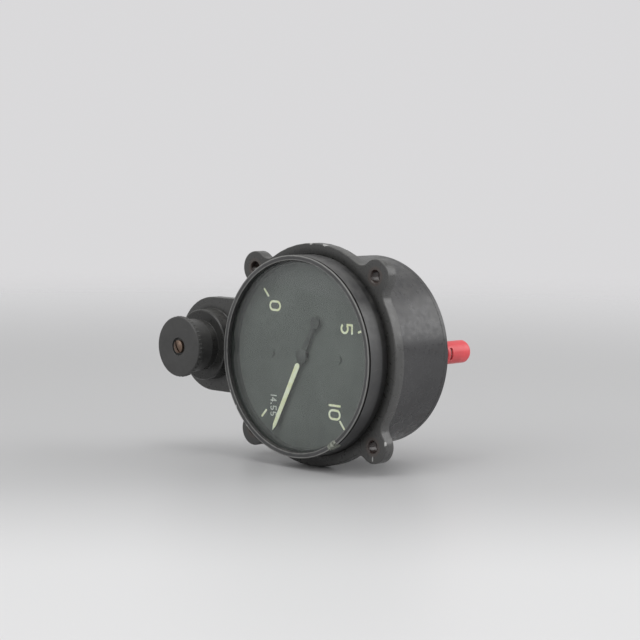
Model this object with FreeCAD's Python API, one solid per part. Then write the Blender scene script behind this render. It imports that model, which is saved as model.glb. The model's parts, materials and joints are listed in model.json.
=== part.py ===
import FreeCAD, Part
import math
import os

# Fuel quantity indicator.
# The origin is the centre of the four lug holes, on the flange's front face.
# The dial faces -Y. +X is the top of the dial and +Z is up as the instrument lies on two lugs.
# All sizes are in millimetres and all angles in degrees.

# Flange and lugs
LUG_CIRCLE = 88.9
LUG_OFFSET = LUG_CIRCLE / 2 / math.sqrt(2)
LUG_RADIUS = 6.4
LUG_HOLE_RADIUS = 2.2
LUG_CHAMFER = 0.4
FLANGE_RADIUS = 42.3
FLANGE_THICKNESS = 4.8
FLANGE_EDGE_ROUND = 0.4
LUG_BLEND = 4.5
POD_BLEND = 5.0

# Round case behind the flange
CASE_RADIUS = 36.6
CASE_BORE = 34.2
CASE_BACK = 33.8
FIXED_GAP = 0.05

# Bezel, window and what is clamped behind it
BEZEL_RADIUS = 38.1
BEZEL_FRONT = -10.0
BEZEL_BORE = 37.05
BEZEL_LIP_RADIUS = 36.25
BEZEL_EDGE = 0.3
GROOVE_FRONT = -9.5
GROOVE_BACK = -8.8
GROOVE_DEPTH = 0.5
WINDOW_RADIUS = 35.9
SKIRT_BACK = 3.4
GLASS_RADIUS = 37.0
GASKET_FRONT = -8.8
GLASS_FRONT = -8.4
GLASS_BACK = -6.4
SPACER_BORE = 35.3
RETAINER_BORE = 33.6
RETAINER_BACK = 1.4
RETAINER_SLOT = 1.2
GRUB_ANGLES = (90, 270)
GRUB_RADIUS = 1.2
GRUB_DEPTH = 2.1
GRUB_INNER = 37.1
GRUB_OUTER = 42.1
SEAL_ANGLE = -57.0
SEAL_RADIUS = 2.8
SEAL_THICKNESS = 0.45
SEAL_BACK = -6.4

# Dial and its markings
DIAL_FRONT = -3.3
DIAL_BACK = -2.3
MARK_HEIGHT = 0.06
TICK_LENGTH = 3.3
TICK_WIDTH = 0.85
TICK_PLACES = ((-132.3, 30.7), (-21.5, 31.3), (50.6, 31.4), (131.8, 31.9))
DIGIT_HEIGHT = 6.2
DIGIT_WIDTH = 4.1
DIGIT_LINE = 0.85
SMALL_HEIGHT = 3.3
SMALL_WIDTH = 1.8
SMALL_LINE = 0.42
SMALL_START = (16.5, -16.2)
DIAL_SCREW_X = 17.5
DIAL_SCREW_SHANK = 0.8
DIAL_SCREW_HEAD = 1.7
POST_RADIUS = 2.4

# Pointer
POINTER_ANGLE = 116.6
POINTER_TIP = 33.2
POINTER_SHOULDER = 30.6
LUME_START = 4.4
LUME_ROOT = 2.3
LUME_NARROW = 1.7
BLADE_MARGIN = 0.2
TAIL_LENGTH = 14.6
TAIL_WEIGHT_RADIUS = 2.3
BLADE_FRONT = -5.0
BLADE_BACK = -4.6
LUME_FRONT = -5.25
HUB_RADIUS = 2.7
HUB_BORE = 1.3
HUB_BACK = -3.9
SPINDLE_RADIUS = 0.8
SPINDLE_FRONT = -5.3
SPINDLE_BACK = 23.0
PIVOT_RADIUS = 0.4
PIVOT_BACK = 24.6

# Receiver that turns the pointer
PLATE_FRONT = 3.4
PLATE_BACK = 5.4
PLATE_RADIUS = 35.9
STOP_FRONT = 6.4
STOP_BACK = 7.4
STOP_REACH = 6.2
STOP_HALF_ANGLE = 38.0
STOP_POST_RADIUS = 0.6
STOP_POST_RING = 5.0
MAGNET_RADIUS = 8.4
MAGNET_FLAT = 6.6
MAGNET_FRONT = 11.0
MAGNET_BACK = 17.0
CORE_OUTER = 18.6
CORE_INNER = 12.4
CORE_MIDDLE = (CORE_OUTER + CORE_INNER) / 2
CORE_FRONT = 9.4
CORE_BACK = 18.6
COIL_WRAP = 1.7
COIL_SWEEP = 92
COIL_STARTS = (14, 134, 254)
BRIDGE_FRONT = 23.4
BRIDGE_BACK = 25.4
PILLAR_RING = 23.3
PILLAR_ANGLES = (90, 210, 330)
PILLAR_RADIUS = 2.0
JEWEL_RADIUS = 2.0
JEWEL_CLEARANCE = 0.04

# Rear cover, connector and dust cap
COVER_FRONT = 34.2
COVER_BACK = 36.2
COVER_ROUND = 0.6
COVER_SCREW_RING = 30.6
COVER_SCREW_ANGLES = (45, 135, 225, 315)
COVER_SCREW_SHANK = 1.2
COVER_SCREW_HEAD = 2.5
COVER_SCREW_DEPTH = 27.0
BOSS_FRONT_DEPTH = 24.0
COVER_BOSS_RADIUS = 3.2
CONNECTOR_X = 27.0
SHELL_THREAD_RADIUS = 5.0
SHELL_FLANGE_RADIUS = 6.6
SHELL_FLANGE_BACK = 38.2
SHELL_STEP_RADIUS = 4.6
SHELL_FRONT = 29.0
BARREL_RADIUS = 3.7
BARREL_BORE = 2.7
BARREL_BACK = 52.5
NUT_FRONT = 31.4
NUT_FLATS = 14.0
INSERT_BACK = 46.5
PIN_RADIUS = 0.7
CAP_RADIUS = 4.4
CAP_BORE = 3.76
CAP_MOUTH = 42.6
CAP_BACK = 56.2
CAP_SLOT_FRONT = 43.9
CAP_SLOT_BACK = 45.2
CAP_SLOT_REACH = 2.3

# Pod beside the flange, with the knob and the resistor it sets
POD_X = -55.2
POD_RADIUS = 18.6
BOSS_RADIUS = 13.9
BOSS_FRONT = -6.2
BOSS_EDGE = 0.7
NOSE_RADIUS = 9.9
NOSE_FRONT = -9.2
POD_CAVITY_RADIUS = 12.3
POD_CAVITY_FRONT = -4.7
POD_PLATE_FRONT = 3.2
POD_PLATE_RADIUS = 15.6
POD_SCREW_RING = 13.9
POD_SCREW_ANGLES = (60, 180, 300)
POD_SCREW_SHANK = 0.9
POD_SCREW_HEAD = 1.6
KNOB_FRONT = -18.3
KNOB_HEAD_BACK = -16.0
KNOB_HEAD_RADIUS = 11.9
KNOB_SKIRT_RADIUS = 10.4
KNOB_BACK = -9.5
KNOB_HOLLOW_RADIUS = 8.6
KNOB_HUB_RADIUS = 4.4
KNOB_HOLLOW_FRONT = -14.5
KNOB_RECESS_RADIUS = 3.5
KNOB_RECESS_BACK = -17.3
NOTCHES = 44
NOTCH_DEPTH = 0.35
NOTCH_HALF_WIDTH = 0.42
KNOB_SCREW_SHANK = 1.2
KNOB_SCREW_HEAD = 2.5
KNOB_SCREW_FRONT = -19.2
KNOB_SCREW_BACK = -11.5
KNOB_SLOT_ANGLE = 62
KNOB_SPINDLE_RADIUS = 2.0
KNOB_SPINDLE_FRONT = -16.8
KNOB_SPINDLE_BACK = -1.6
BUSH_RADIUS = 4.0
BUSH_FLANGE_RADIUS = 5.6
BUSH_FLANGE_BACK = -4.0
BUSH_CLEARANCE = 0.05
CLIP_RADIUS = 3.3
CLIP_FRONT = -3.8
CLIP_BACK = -3.3
WIPER_FRONT = -3.0
WIPER_BACK = -2.4
WIPER_REACH = 7.7
TRACK_OUTER = 9.0
TRACK_INNER = 6.4
TRACK_FRONT = -0.6
TRACK_GAP = 40
WINDING_FRONT = -1.1
WIRE_WRAP = 0.3
BASE_RADIUS = 12.0
BASE_FRONT = 2.4
STOP_PIN_RADIUS = 1.3

# Leads
LEAD_RADIUS = 0.4
LEAD_DEPTH = 1.95
LEAD_PASSAGE_RADIUS = 1.3
LEAD_PASSAGE_LENGTH = 14
LEAD_SPREAD = 0.65
LEAD_TURN_X = -32.0

# A cutting tool runs past the piece it cuts by this much
PAST = 1.0

AXIS = FreeCAD.Vector(0, 1, 0)
ORIGIN = FreeCAD.Vector(0, 0, 0)


def point(x, y, z):
    return FreeCAD.Vector(x, y, z)


def rod(radius, front, back, x=0.0, z=0.0):
    """A round rod along Y between two depths."""
    return Part.makeCylinder(radius, back - front, point(x, front, z), AXIS)


def tube(outer, inner, front, back, x=0.0, z=0.0):
    """A round tube along Y."""
    return rod(outer, front, back, x, z).cut(rod(inner, front - PAST, back + PAST, x, z))


def turned(profile, x=0.0, z=0.0):
    """A turned shape: (radius, depth) corners spun about an axis along Y."""
    corners = [point(x + radius, depth, z) for radius, depth in profile]
    wire = Part.makePolygon(corners + [corners[0]])
    return Part.Face(wire).revolve(point(x, 0, z), AXIS, 360)


def block(x_low, x_high, y_low, y_high, z_low, z_high):
    """A box between its low and high sides."""
    corner = point(x_low, y_low, z_low)
    return Part.makeBox(x_high - x_low, y_high - y_low, z_high - z_low, corner)


def joined(shapes):
    """One clean solid from several that touch."""
    body = shapes[0]
    if len(shapes) > 1:
        body = body.multiFuse(shapes[1:])
    return body.removeSplitter()


def group(shapes):
    """Separate solids that share one node."""
    return Part.makeCompound(shapes)


def around(radius, angle):
    """A point on a circle about the dial's axis, angle from +X towards +Z in degrees."""
    turn = math.radians(angle)
    return radius * math.cos(turn), radius * math.sin(turn)


def turned_about_dial(shape, angle):
    """A copy turned clockwise, as the dial is read."""
    copy = shape.copy()
    copy.rotate(ORIGIN, AXIS, angle)
    return copy


def sector(outer, inner, front, back, start, sweep, x=0.0):
    """Part of a ring, from a start angle through a sweep, both from +X towards -Z."""
    corners = [point(x + inner, front, 0), point(x + outer, front, 0)]
    corners += [point(x + outer, back, 0), point(x + inner, back, 0)]
    face = Part.Face(Part.makePolygon(corners + [corners[0]]))
    body = face.revolve(point(x, 0, 0), AXIS, sweep)
    body.rotate(point(x, 0, 0), AXIS, start)
    return body


# Case: body, flange, lugs and pod plate in one casting
def lug_places():
    """Centres of the four lugs."""
    return [(sx * LUG_OFFSET, sz * LUG_OFFSET) for sx in (-1, 1) for sz in (-1, 1)]


def corner_edges(plate, low, high):
    """The plate's straight edges along Y that stand between two distances from the axis."""
    found = []
    for edge in plate.Edges:
        middle = edge.CenterOfMass
        distance = math.hypot(middle.x, middle.z)
        along = abs(edge.Length - FLANGE_THICKNESS) < 0.01
        if along and edge.Curve.TypeId == "Part::GeomLine" and low < distance < high:
            found.append(edge)
    return found


def front_outline(plate):
    """The edges around the plate's front face."""
    face = min(plate.Faces, key=lambda f: f.CenterOfMass.y)
    return face.OuterWire.Edges


def flange_plate():
    """Flange with its lugs and pod plate, blended where they meet."""
    pieces = [rod(FLANGE_RADIUS, 0, FLANGE_THICKNESS)]
    for x, z in lug_places():
        pieces.append(rod(LUG_RADIUS, 0, FLANGE_THICKNESS, x, z))
    pieces.append(rod(POD_RADIUS, 0, FLANGE_THICKNESS, POD_X))
    pieces.append(block(POD_X, -30, 0, FLANGE_THICKNESS, -POD_RADIUS, POD_RADIUS))
    plate = joined(pieces)
    near = FLANGE_RADIUS - 2
    far = FLANGE_RADIUS + 8
    pod_side = -LUG_OFFSET - 4
    at_lugs = [edge for edge in corner_edges(plate, near, far) if edge.CenterOfMass.x >= pod_side]
    plate = plate.makeFillet(LUG_BLEND, at_lugs)
    at_pod = [edge for edge in corner_edges(plate, near, FLANGE_RADIUS + 1) if edge.CenterOfMass.x < pod_side]
    plate = plate.makeFillet(POD_BLEND, at_pod)
    return plate.makeFillet(FLANGE_EDGE_ROUND, front_outline(plate))


def case_body():
    body = joined([flange_plate(), rod(CASE_RADIUS, FLANGE_THICKNESS, CASE_BACK)])
    body = joined([body, pod_boss()])
    body = body.cut(rod(BEZEL_RADIUS + FIXED_GAP, -PAST, SKIRT_BACK))
    body = body.cut(rod(PLATE_RADIUS + FIXED_GAP, SKIRT_BACK - PAST, PLATE_BACK))
    body = body.cut(rod(CASE_BORE, PLATE_BACK - PAST, CASE_BACK + PAST))
    body = body.cut(pod_cavity())
    for x, z in lug_places():
        body = body.cut(rod(LUG_HOLE_RADIUS, -PAST, FLANGE_THICKNESS + PAST, x, z))
        wide = LUG_HOLE_RADIUS + LUG_CHAMFER
        body = body.cut(Part.makeCone(wide, LUG_HOLE_RADIUS, LUG_CHAMFER, point(x, 0, z), AXIS))
    for shape in cover_bosses():
        body = body.fuse(shape)
    for shape in cover_screw_shanks():
        body = body.cut(shape)
    for shape in grub_screw_shapes():
        body = body.cut(shape)
    for shape in pod_screw_shanks():
        body = body.cut(shape)
    return body.removeSplitter()


def pod_boss():
    """Raised round boss on the pod, with the nose the knob turns on."""
    profile = [(0, NOSE_FRONT), (NOSE_RADIUS, NOSE_FRONT), (NOSE_RADIUS, BOSS_FRONT)]
    profile += [(BOSS_RADIUS - BOSS_EDGE, BOSS_FRONT), (BOSS_RADIUS, BOSS_FRONT + BOSS_EDGE)]
    profile += [(BOSS_RADIUS, PAST), (0, PAST)]
    return turned(profile, POD_X)


def pod_cavity():
    """Space for the resistor, its back plate, the bush and the leads."""
    cavity = joined([
        rod(POD_CAVITY_RADIUS, POD_CAVITY_FRONT, POD_PLATE_FRONT + 0.1, POD_X),
        rod(POD_PLATE_RADIUS + FIXED_GAP, POD_PLATE_FRONT, FLANGE_THICKNESS + PAST, POD_X),
        rod(BUSH_RADIUS, NOSE_FRONT - PAST, POD_CAVITY_FRONT + 0.1, POD_X),
    ])
    start = point(POD_X + BASE_RADIUS - 2, LEAD_DEPTH, 0)
    passage = Part.makeCylinder(LEAD_PASSAGE_RADIUS, LEAD_PASSAGE_LENGTH, start, point(1, 0, 0))
    return cavity.fuse(passage)


# Bezel and everything clamped inside it
def bezel_ring():
    """Bezel with a flat lip, a narrow groove behind its rim and a long skirt that enters the flange."""
    profile = [(BEZEL_LIP_RADIUS, BEZEL_FRONT), (BEZEL_RADIUS - BEZEL_EDGE, BEZEL_FRONT)]
    profile += [(BEZEL_RADIUS, BEZEL_FRONT + BEZEL_EDGE), (BEZEL_RADIUS, GROOVE_FRONT)]
    profile += [(BEZEL_RADIUS - GROOVE_DEPTH, GROOVE_FRONT), (BEZEL_RADIUS - GROOVE_DEPTH, GROOVE_BACK)]
    profile += [(BEZEL_RADIUS, GROOVE_BACK), (BEZEL_RADIUS, SKIRT_BACK), (BEZEL_BORE, SKIRT_BACK)]
    profile += [(BEZEL_BORE, GASKET_FRONT), (WINDOW_RADIUS, GASKET_FRONT)]
    profile += [(WINDOW_RADIUS, GASKET_FRONT - 0.2)]
    ring = turned(profile).cut(lead_notch())
    for shape in grub_screw_shapes():
        ring = ring.cut(shape)
    return ring


def lead_notch():
    """Gap in the skirt's back edge that lets the resistor's leads through."""
    front = LEAD_DEPTH - LEAD_PASSAGE_RADIUS - 0.25
    inner = -BEZEL_BORE + PAST
    outer = -BEZEL_RADIUS - PAST
    return block(outer, inner, front, SKIRT_BACK + PAST, -LEAD_PASSAGE_RADIUS, LEAD_PASSAGE_RADIUS)


def inspection_seal():
    """A thin smear of sealing compound over the bezel's lip and down its wall."""
    x, z = around(BEZEL_RADIUS - GROOVE_DEPTH, SEAL_ANGLE)
    patch = Part.makeSphere(SEAL_RADIUS, point(x, GROOVE_BACK + 0.2, z))
    outer = BEZEL_RADIUS + SEAL_THICKNESS
    inner = BEZEL_LIP_RADIUS - SEAL_THICKNESS
    skin = tube(outer, inner, BEZEL_FRONT - SEAL_THICKNESS, SEAL_BACK)
    behind_window = rod(BEZEL_RADIUS - GROOVE_DEPTH, GASKET_FRONT, 0)
    return skin.common(patch).cut(behind_window).cut(bezel_ring())


def window_gasket():
    return tube(GLASS_RADIUS, WINDOW_RADIUS, GASKET_FRONT, GLASS_FRONT)


def window_glass():
    return rod(GLASS_RADIUS, GLASS_FRONT, GLASS_BACK)


def spacer_ring():
    """Dark ring between the glass and the dial."""
    return tube(GLASS_RADIUS, SPACER_BORE, GLASS_BACK, DIAL_FRONT)


def retaining_ring():
    """Slotted ring that clamps the dial and the glass."""
    ring = tube(GLASS_RADIUS, RETAINER_BORE, DIAL_BACK, RETAINER_BACK)
    half = GLASS_RADIUS + PAST
    slot = block(-half, half, RETAINER_BACK - RETAINER_SLOT, RETAINER_BACK + PAST, -1.2, 1.2)
    return ring.cut(slot)


def radial_rod(radius, inner, outer, depth, angle):
    """A rod that points away from the dial's axis."""
    x, z = around(inner, angle)
    return Part.makeCylinder(radius, outer - inner, point(x, depth, z), point(x, 0, z))


def grub_screw_shapes():
    holes = []
    for angle in GRUB_ANGLES:
        holes.append(radial_rod(GRUB_RADIUS, GRUB_INNER, FLANGE_RADIUS + PAST, GRUB_DEPTH, angle))
    return holes


def bezel_grub_screws():
    """Three slotted grub screws through the flange's edge into the skirt."""
    screws = []
    for angle in GRUB_ANGLES:
        screw = radial_rod(GRUB_RADIUS, GRUB_INNER, GRUB_OUTER, GRUB_DEPTH, 0)
        slot = block(GRUB_OUTER - 0.6, GRUB_OUTER + PAST, 0, FLANGE_THICKNESS, -0.2, 0.2)
        screw = screw.cut(slot)
        screws.append(turned_about_dial(screw, -angle))
    return group(screws)


# Dial and its markings, drawn as the dial is read: right, up, and towards the reader


def on_dial(shape):
    """Moves a mark from the reader's right, up and near axes onto the dial."""
    frame = FreeCAD.Matrix(0, 1, 0, 0, 0, 0, -1, DIAL_FRONT, -1, 0, 0, 0, 0, 0, 0, 1)
    copy = shape.copy()
    copy.transformShape(frame)
    return copy


def stroke(start, end, width):
    """A painted stroke with round ends, between two (right, up) points."""
    length = math.hypot(end[0] - start[0], end[1] - start[1])
    turn = math.degrees(math.atan2(end[1] - start[1], end[0] - start[0]))
    bar = Part.makeBox(length, width, MARK_HEIGHT, point(0, -width / 2, 0))
    near_end = Part.makeCylinder(width / 2, MARK_HEIGHT)
    far_end = Part.makeCylinder(width / 2, MARK_HEIGHT, point(length, 0, 0))
    bar = joined([bar, near_end, far_end])
    bar.rotate(ORIGIN, point(0, 0, 1), turn)
    bar.translate(point(start[0], start[1], 0))
    return bar


def curve(centre, radius, start, sweep, width):
    """A painted arc, angles anticlockwise from the right."""
    outer = Part.makeCylinder(radius + width / 2, MARK_HEIGHT, ORIGIN, point(0, 0, 1), sweep)
    arc = outer.cut(Part.makeCylinder(radius - width / 2, MARK_HEIGHT))
    arc.rotate(ORIGIN, point(0, 0, 1), start)
    arc.translate(point(centre[0], centre[1], 0))
    return arc


def digit_zero(right, up, height, wide, line):
    radius = (wide - line) / 2
    top = up + height / 2 - line / 2 - radius
    low = up - height / 2 + line / 2 + radius
    left_x = right - radius
    right_x = right + radius
    return joined([
        curve((right, top), radius, 0, 180, line),
        curve((right, low), radius, 180, 180, line),
        stroke((left_x, low), (left_x, top), line),
        stroke((right_x, low), (right_x, top), line),
    ])


def digit_one(right, up, height, line):
    reach = height / 2 - line / 2
    return stroke((right, up - reach), (right, up + reach), line)


def digit_four(right, up, height, wide, line):
    reach = height / 2 - line / 2
    left_x = right - wide / 2 + line / 2
    right_x = right + wide / 2 - line / 2
    stem = right + wide * 0.18
    bar = up - height * 0.18
    return joined([
        stroke((stem, up + reach), (left_x, bar), line),
        stroke((left_x, bar), (right_x, bar), line),
        stroke((stem, up + reach), (stem, up - reach), line),
    ])


def digit_five(right, up, height, wide, line):
    reach = height / 2 - line / 2
    left_x = right - wide / 2 + line / 2
    right_x = right + wide / 2 - line / 2
    radius = (wide - line) / 2
    bowl = up - reach + radius
    shoulder = bowl + radius * math.sin(math.radians(125))
    return joined([
        stroke((left_x + line * 0.2, up + reach), (right_x, up + reach), line),
        stroke((left_x + line * 0.2, up + reach), (left_x + line * 0.2, shoulder), line),
        curve((right, bowl), radius, -145, 285, line),
    ])


def dial_plate():
    plate = rod(GLASS_RADIUS, DIAL_FRONT, DIAL_BACK)
    plate = plate.cut(rod(HUB_BORE + 0.7, DIAL_FRONT - PAST, DIAL_BACK + PAST))
    for side in (-1, 1):
        plate = plate.cut(rod(DIAL_SCREW_SHANK, DIAL_FRONT - PAST, DIAL_BACK + PAST, side * DIAL_SCREW_X))
    return plate


def dial_markings():
    """Luminous ticks and the three large numerals."""
    marks = []
    for angle, radius in TICK_PLACES:
        turn = math.radians(angle)
        inner = radius - TICK_LENGTH / 2
        outer = radius + TICK_LENGTH / 2
        start = (inner * math.sin(turn), inner * math.cos(turn))
        end = (outer * math.sin(turn), outer * math.cos(turn))
        marks.append(stroke(start, end, TICK_WIDTH))
    marks.append(digit_zero(-17.9, -15.9, DIGIT_HEIGHT, DIGIT_WIDTH, DIGIT_LINE))
    marks.append(digit_five(-11.8, 21.6, DIGIT_HEIGHT, DIGIT_WIDTH, DIGIT_LINE))
    marks.append(digit_one(17.3, 16.0, DIGIT_HEIGHT, DIGIT_LINE))
    marks.append(digit_zero(20.7, 16.0, DIGIT_HEIGHT, DIGIT_WIDTH, DIGIT_LINE))
    return group([on_dial(mark) for mark in marks])


def dial_small_number():
    """The small plain number at the end of the scale."""
    right, up = SMALL_START
    dot = 0.32
    foot = up - SMALL_HEIGHT / 2 + dot
    marks = [
        digit_one(right, up, SMALL_HEIGHT, SMALL_LINE),
        digit_four(right + 1.6, up, SMALL_HEIGHT, SMALL_WIDTH, SMALL_LINE),
        Part.makeCylinder(dot, MARK_HEIGHT, point(right + 3.2, foot, 0)),
        digit_five(right + 4.8, up, SMALL_HEIGHT, SMALL_WIDTH, SMALL_LINE),
        digit_five(right + 7.1, up, SMALL_HEIGHT, SMALL_WIDTH, SMALL_LINE),
    ]
    return group([on_dial(mark) for mark in marks])


def dial_screws():
    screws = []
    for side in (-1, 1):
        x = side * DIAL_SCREW_X
        screw = joined([
            rod(DIAL_SCREW_HEAD, DIAL_FRONT - 0.6, DIAL_FRONT, x),
            rod(DIAL_SCREW_SHANK, DIAL_FRONT, PLATE_FRONT - PAST, x),
        ])
        half = DIAL_SCREW_HEAD + PAST
        screws.append(screw.cut(block(x - half, x + half, DIAL_FRONT - PAST, DIAL_FRONT - 0.3, -0.2, 0.2)))
    return group(screws)


def dial_posts():
    """Two posts that carry the dial on the movement plate."""
    posts = []
    for side in (-1, 1):
        x = side * DIAL_SCREW_X
        post = rod(POST_RADIUS, DIAL_BACK, PLATE_FRONT, x)
        posts.append(post.cut(rod(DIAL_SCREW_SHANK, DIAL_BACK - PAST, PLATE_FRONT - PAST, x)))
    return group(posts)


# Pointer and the receiver that turns it


def flat_shape(outline, front, back):
    """A plate from (right, up) corners between two depths."""
    corners = [point(up, front, -right) for right, up in outline]
    face = Part.Face(Part.makePolygon(corners + [corners[0]]))
    return face.extrude(point(0, back - front, 0))


def pointer_outline(root, narrow, start, tip):
    """Tapering bar with a pointed end."""
    left_side = [(-root / 2, start), (-narrow / 2, POINTER_SHOULDER)]
    right_side = [(narrow / 2, POINTER_SHOULDER), (root / 2, start)]
    return left_side + [(0, tip)] + right_side


def pointer_blade():
    """Dark blade with its tail and round balance weight."""
    root = LUME_ROOT + BLADE_MARGIN
    narrow = LUME_NARROW + BLADE_MARGIN
    bar = flat_shape(pointer_outline(root, narrow, 0, POINTER_TIP), BLADE_FRONT, BLADE_BACK)
    tail_end = -TAIL_LENGTH + 0.6
    tail = flat_shape([(-1.3, 0), (1.3, 0), (0.8, tail_end), (-0.8, tail_end)], BLADE_FRONT, BLADE_BACK)
    weight = rod(TAIL_WEIGHT_RADIUS, BLADE_FRONT, BLADE_BACK, -TAIL_LENGTH)
    centre = rod(HUB_RADIUS - 0.3, BLADE_FRONT, BLADE_BACK)
    bore = rod(HUB_BORE, BLADE_FRONT - PAST, BLADE_BACK + PAST)
    blade = joined([bar, tail, weight, centre]).cut(bore)
    return turned_about_dial(blade, POINTER_ANGLE)


def pointer_lume():
    """Pale luminous bar on the blade, round at its root."""
    outline = pointer_outline(LUME_ROOT, LUME_NARROW, LUME_START, POINTER_TIP - 0.1)
    bar = flat_shape(outline, LUME_FRONT, BLADE_FRONT)
    bar = joined([bar, rod(LUME_ROOT / 2, LUME_FRONT, BLADE_FRONT, LUME_START)])
    return turned_about_dial(bar, POINTER_ANGLE)


def pointer_hub():
    """Dark collet that holds the blade on the spindle."""
    profile = [(0, SPINDLE_FRONT - 0.3), (HUB_RADIUS - 0.8, SPINDLE_FRONT - 0.3)]
    profile += [(HUB_RADIUS, SPINDLE_FRONT + 0.1), (HUB_RADIUS, BLADE_FRONT), (HUB_BORE, BLADE_FRONT)]
    profile += [(HUB_BORE, HUB_BACK), (SPINDLE_RADIUS, HUB_BACK)]
    profile += [(SPINDLE_RADIUS, SPINDLE_FRONT), (0, SPINDLE_FRONT)]
    return turned(profile)


def pointer_spindle():
    profile = [(0, SPINDLE_FRONT), (SPINDLE_RADIUS, SPINDLE_FRONT), (SPINDLE_RADIUS, SPINDLE_BACK)]
    profile += [(PIVOT_RADIUS, SPINDLE_BACK), (PIVOT_RADIUS, PIVOT_BACK), (0, PIVOT_BACK)]
    return turned(profile)


def pointer_stop_arm():
    """Sector on the spindle that meets the stop post at each end of the scale."""
    hub = rod(2.0, STOP_FRONT, STOP_BACK)
    start = POINTER_ANGLE - STOP_HALF_ANGLE
    arm = sector(STOP_REACH, 1.0, STOP_FRONT, STOP_BACK, start, 2 * STOP_HALF_ANGLE)
    return joined([hub, arm]).cut(rod(SPINDLE_RADIUS, STOP_FRONT - PAST, STOP_BACK + PAST))


def pointer_stop_post():
    return rod(STOP_POST_RADIUS, PLATE_BACK, STOP_BACK + 0.8, -STOP_POST_RING)


def magnet_rotor():
    """Permanent magnet with two flats, fixed on the spindle."""
    magnet = tube(MAGNET_RADIUS, SPINDLE_RADIUS, MAGNET_FRONT, MAGNET_BACK)
    half = MAGNET_RADIUS + PAST
    flats = block(-half, half, MAGNET_FRONT - PAST, MAGNET_BACK + PAST, -MAGNET_FLAT, MAGNET_FLAT)
    return magnet.common(flats)


def stator_core():
    return tube(CORE_OUTER, CORE_INNER, CORE_FRONT, CORE_BACK)


def stator_coils():
    """Three windings wrapped round the core."""
    outer = CORE_OUTER + COIL_WRAP
    inner = CORE_INNER - COIL_WRAP
    front = CORE_FRONT - COIL_WRAP
    back = CORE_BACK + COIL_WRAP
    coils = []
    for start in COIL_STARTS:
        wrap = sector(outer, inner, front, back, start, COIL_SWEEP)
        coils.append(wrap.cut(stator_core()))
    return group(coils)


def stator_posts():
    """Three posts between the windings that hold the core off the movement plate."""
    posts = []
    for start in COIL_STARTS:
        x, z = around(CORE_MIDDLE, COIL_STARTS[0] - start)
        posts.append(rod(1.5, PLATE_BACK, CORE_FRONT, x, z))
    return group(posts)


def movement_plate():
    """Round plate that carries the receiver; a notch lets the knob's leads through."""
    plate = rod(PLATE_RADIUS, PLATE_FRONT, PLATE_BACK)
    plate = plate.cut(rod(JEWEL_RADIUS, PLATE_FRONT - PAST, PLATE_BACK + PAST))
    inner = LEAD_TURN_X + 2.5
    notch = block(-PLATE_RADIUS - PAST, inner, PLATE_FRONT - PAST, PLATE_BACK + PAST, -2.0, 2.0)
    return plate.cut(notch)


def bridge_pillars():
    pillars = []
    for angle in PILLAR_ANGLES:
        x, z = around(PILLAR_RING, angle)
        pillars.append(rod(PILLAR_RADIUS, PLATE_BACK, BRIDGE_FRONT, x, z))
    return group(pillars)


def rear_bridge():
    """Three-armed bridge over the receiver."""
    arms = [rod(5.0, BRIDGE_FRONT, BRIDGE_BACK)]
    for angle in PILLAR_ANGLES:
        x, z = around(PILLAR_RING, angle)
        arm = block(0, PILLAR_RING, BRIDGE_FRONT, BRIDGE_BACK, -2.6, 2.6)
        arms.append(turned_about_dial(arm, -angle))
        arms.append(rod(2.7, BRIDGE_FRONT, BRIDGE_BACK, x, z))
    return joined(arms).cut(rod(JEWEL_RADIUS, BRIDGE_FRONT - PAST, BRIDGE_BACK + PAST))


def slotted_head(radius, front, back, x, z, turn):
    """Screw head along Y with a slot across its back."""
    head = rod(radius, front, back, x, z)
    half = radius + PAST
    floor = back - (back - front) * 0.55
    slot = block(x - half, x + half, floor, back + PAST, z - 0.3, z + 0.3)
    slot.rotate(point(x, 0, z), AXIS, turn)
    return head.cut(slot)


def bridge_screws():
    screws = []
    for angle in PILLAR_ANGLES:
        x, z = around(PILLAR_RING, angle)
        screws.append(slotted_head(1.8, BRIDGE_BACK, BRIDGE_BACK + 1.2, x, z, angle))
    return group(screws)


def front_jewel():
    return tube(JEWEL_RADIUS, SPINDLE_RADIUS + JEWEL_CLEARANCE, PLATE_FRONT, PLATE_BACK)


def rear_jewel():
    """Cup bearing for the pivot."""
    jewel = rod(JEWEL_RADIUS, BRIDGE_FRONT, BRIDGE_BACK)
    return jewel.cut(rod(PIVOT_RADIUS + JEWEL_CLEARANCE, BRIDGE_FRONT - PAST, PIVOT_BACK + 0.1))


# Rear cover and the connector on it


def cover_bosses():
    """Four bosses inside the case for the cover screws."""
    bosses = []
    for angle in COVER_SCREW_ANGLES:
        x, z = around(COVER_SCREW_RING, angle)
        boss = rod(COVER_BOSS_RADIUS, BOSS_FRONT_DEPTH, CASE_BACK, x, z)
        web_x, web_z = around((COVER_SCREW_RING + CASE_BORE) / 2, angle)
        web = rod(COVER_BOSS_RADIUS - 0.6, BOSS_FRONT_DEPTH, CASE_BACK, web_x, web_z)
        inside = rod(CASE_BORE + 1.5, BOSS_FRONT_DEPTH - PAST, CASE_BACK + PAST)
        bosses.append(joined([boss, web]).common(inside))
    return bosses


def cover_screw_shanks():
    shanks = []
    for angle in COVER_SCREW_ANGLES:
        x, z = around(COVER_SCREW_RING, angle)
        shanks.append(rod(COVER_SCREW_SHANK, COVER_SCREW_DEPTH, COVER_BACK, x, z))
    return shanks


def cover_gasket():
    gasket = tube(CASE_RADIUS, CASE_BORE - 0.2, CASE_BACK, COVER_FRONT)
    for angle in COVER_SCREW_ANGLES:
        x, z = around(COVER_SCREW_RING, angle)
        gasket = gasket.cut(rod(COVER_BOSS_RADIUS + 0.1, CASE_BACK - PAST, COVER_FRONT + PAST, x, z))
    return gasket


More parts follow.
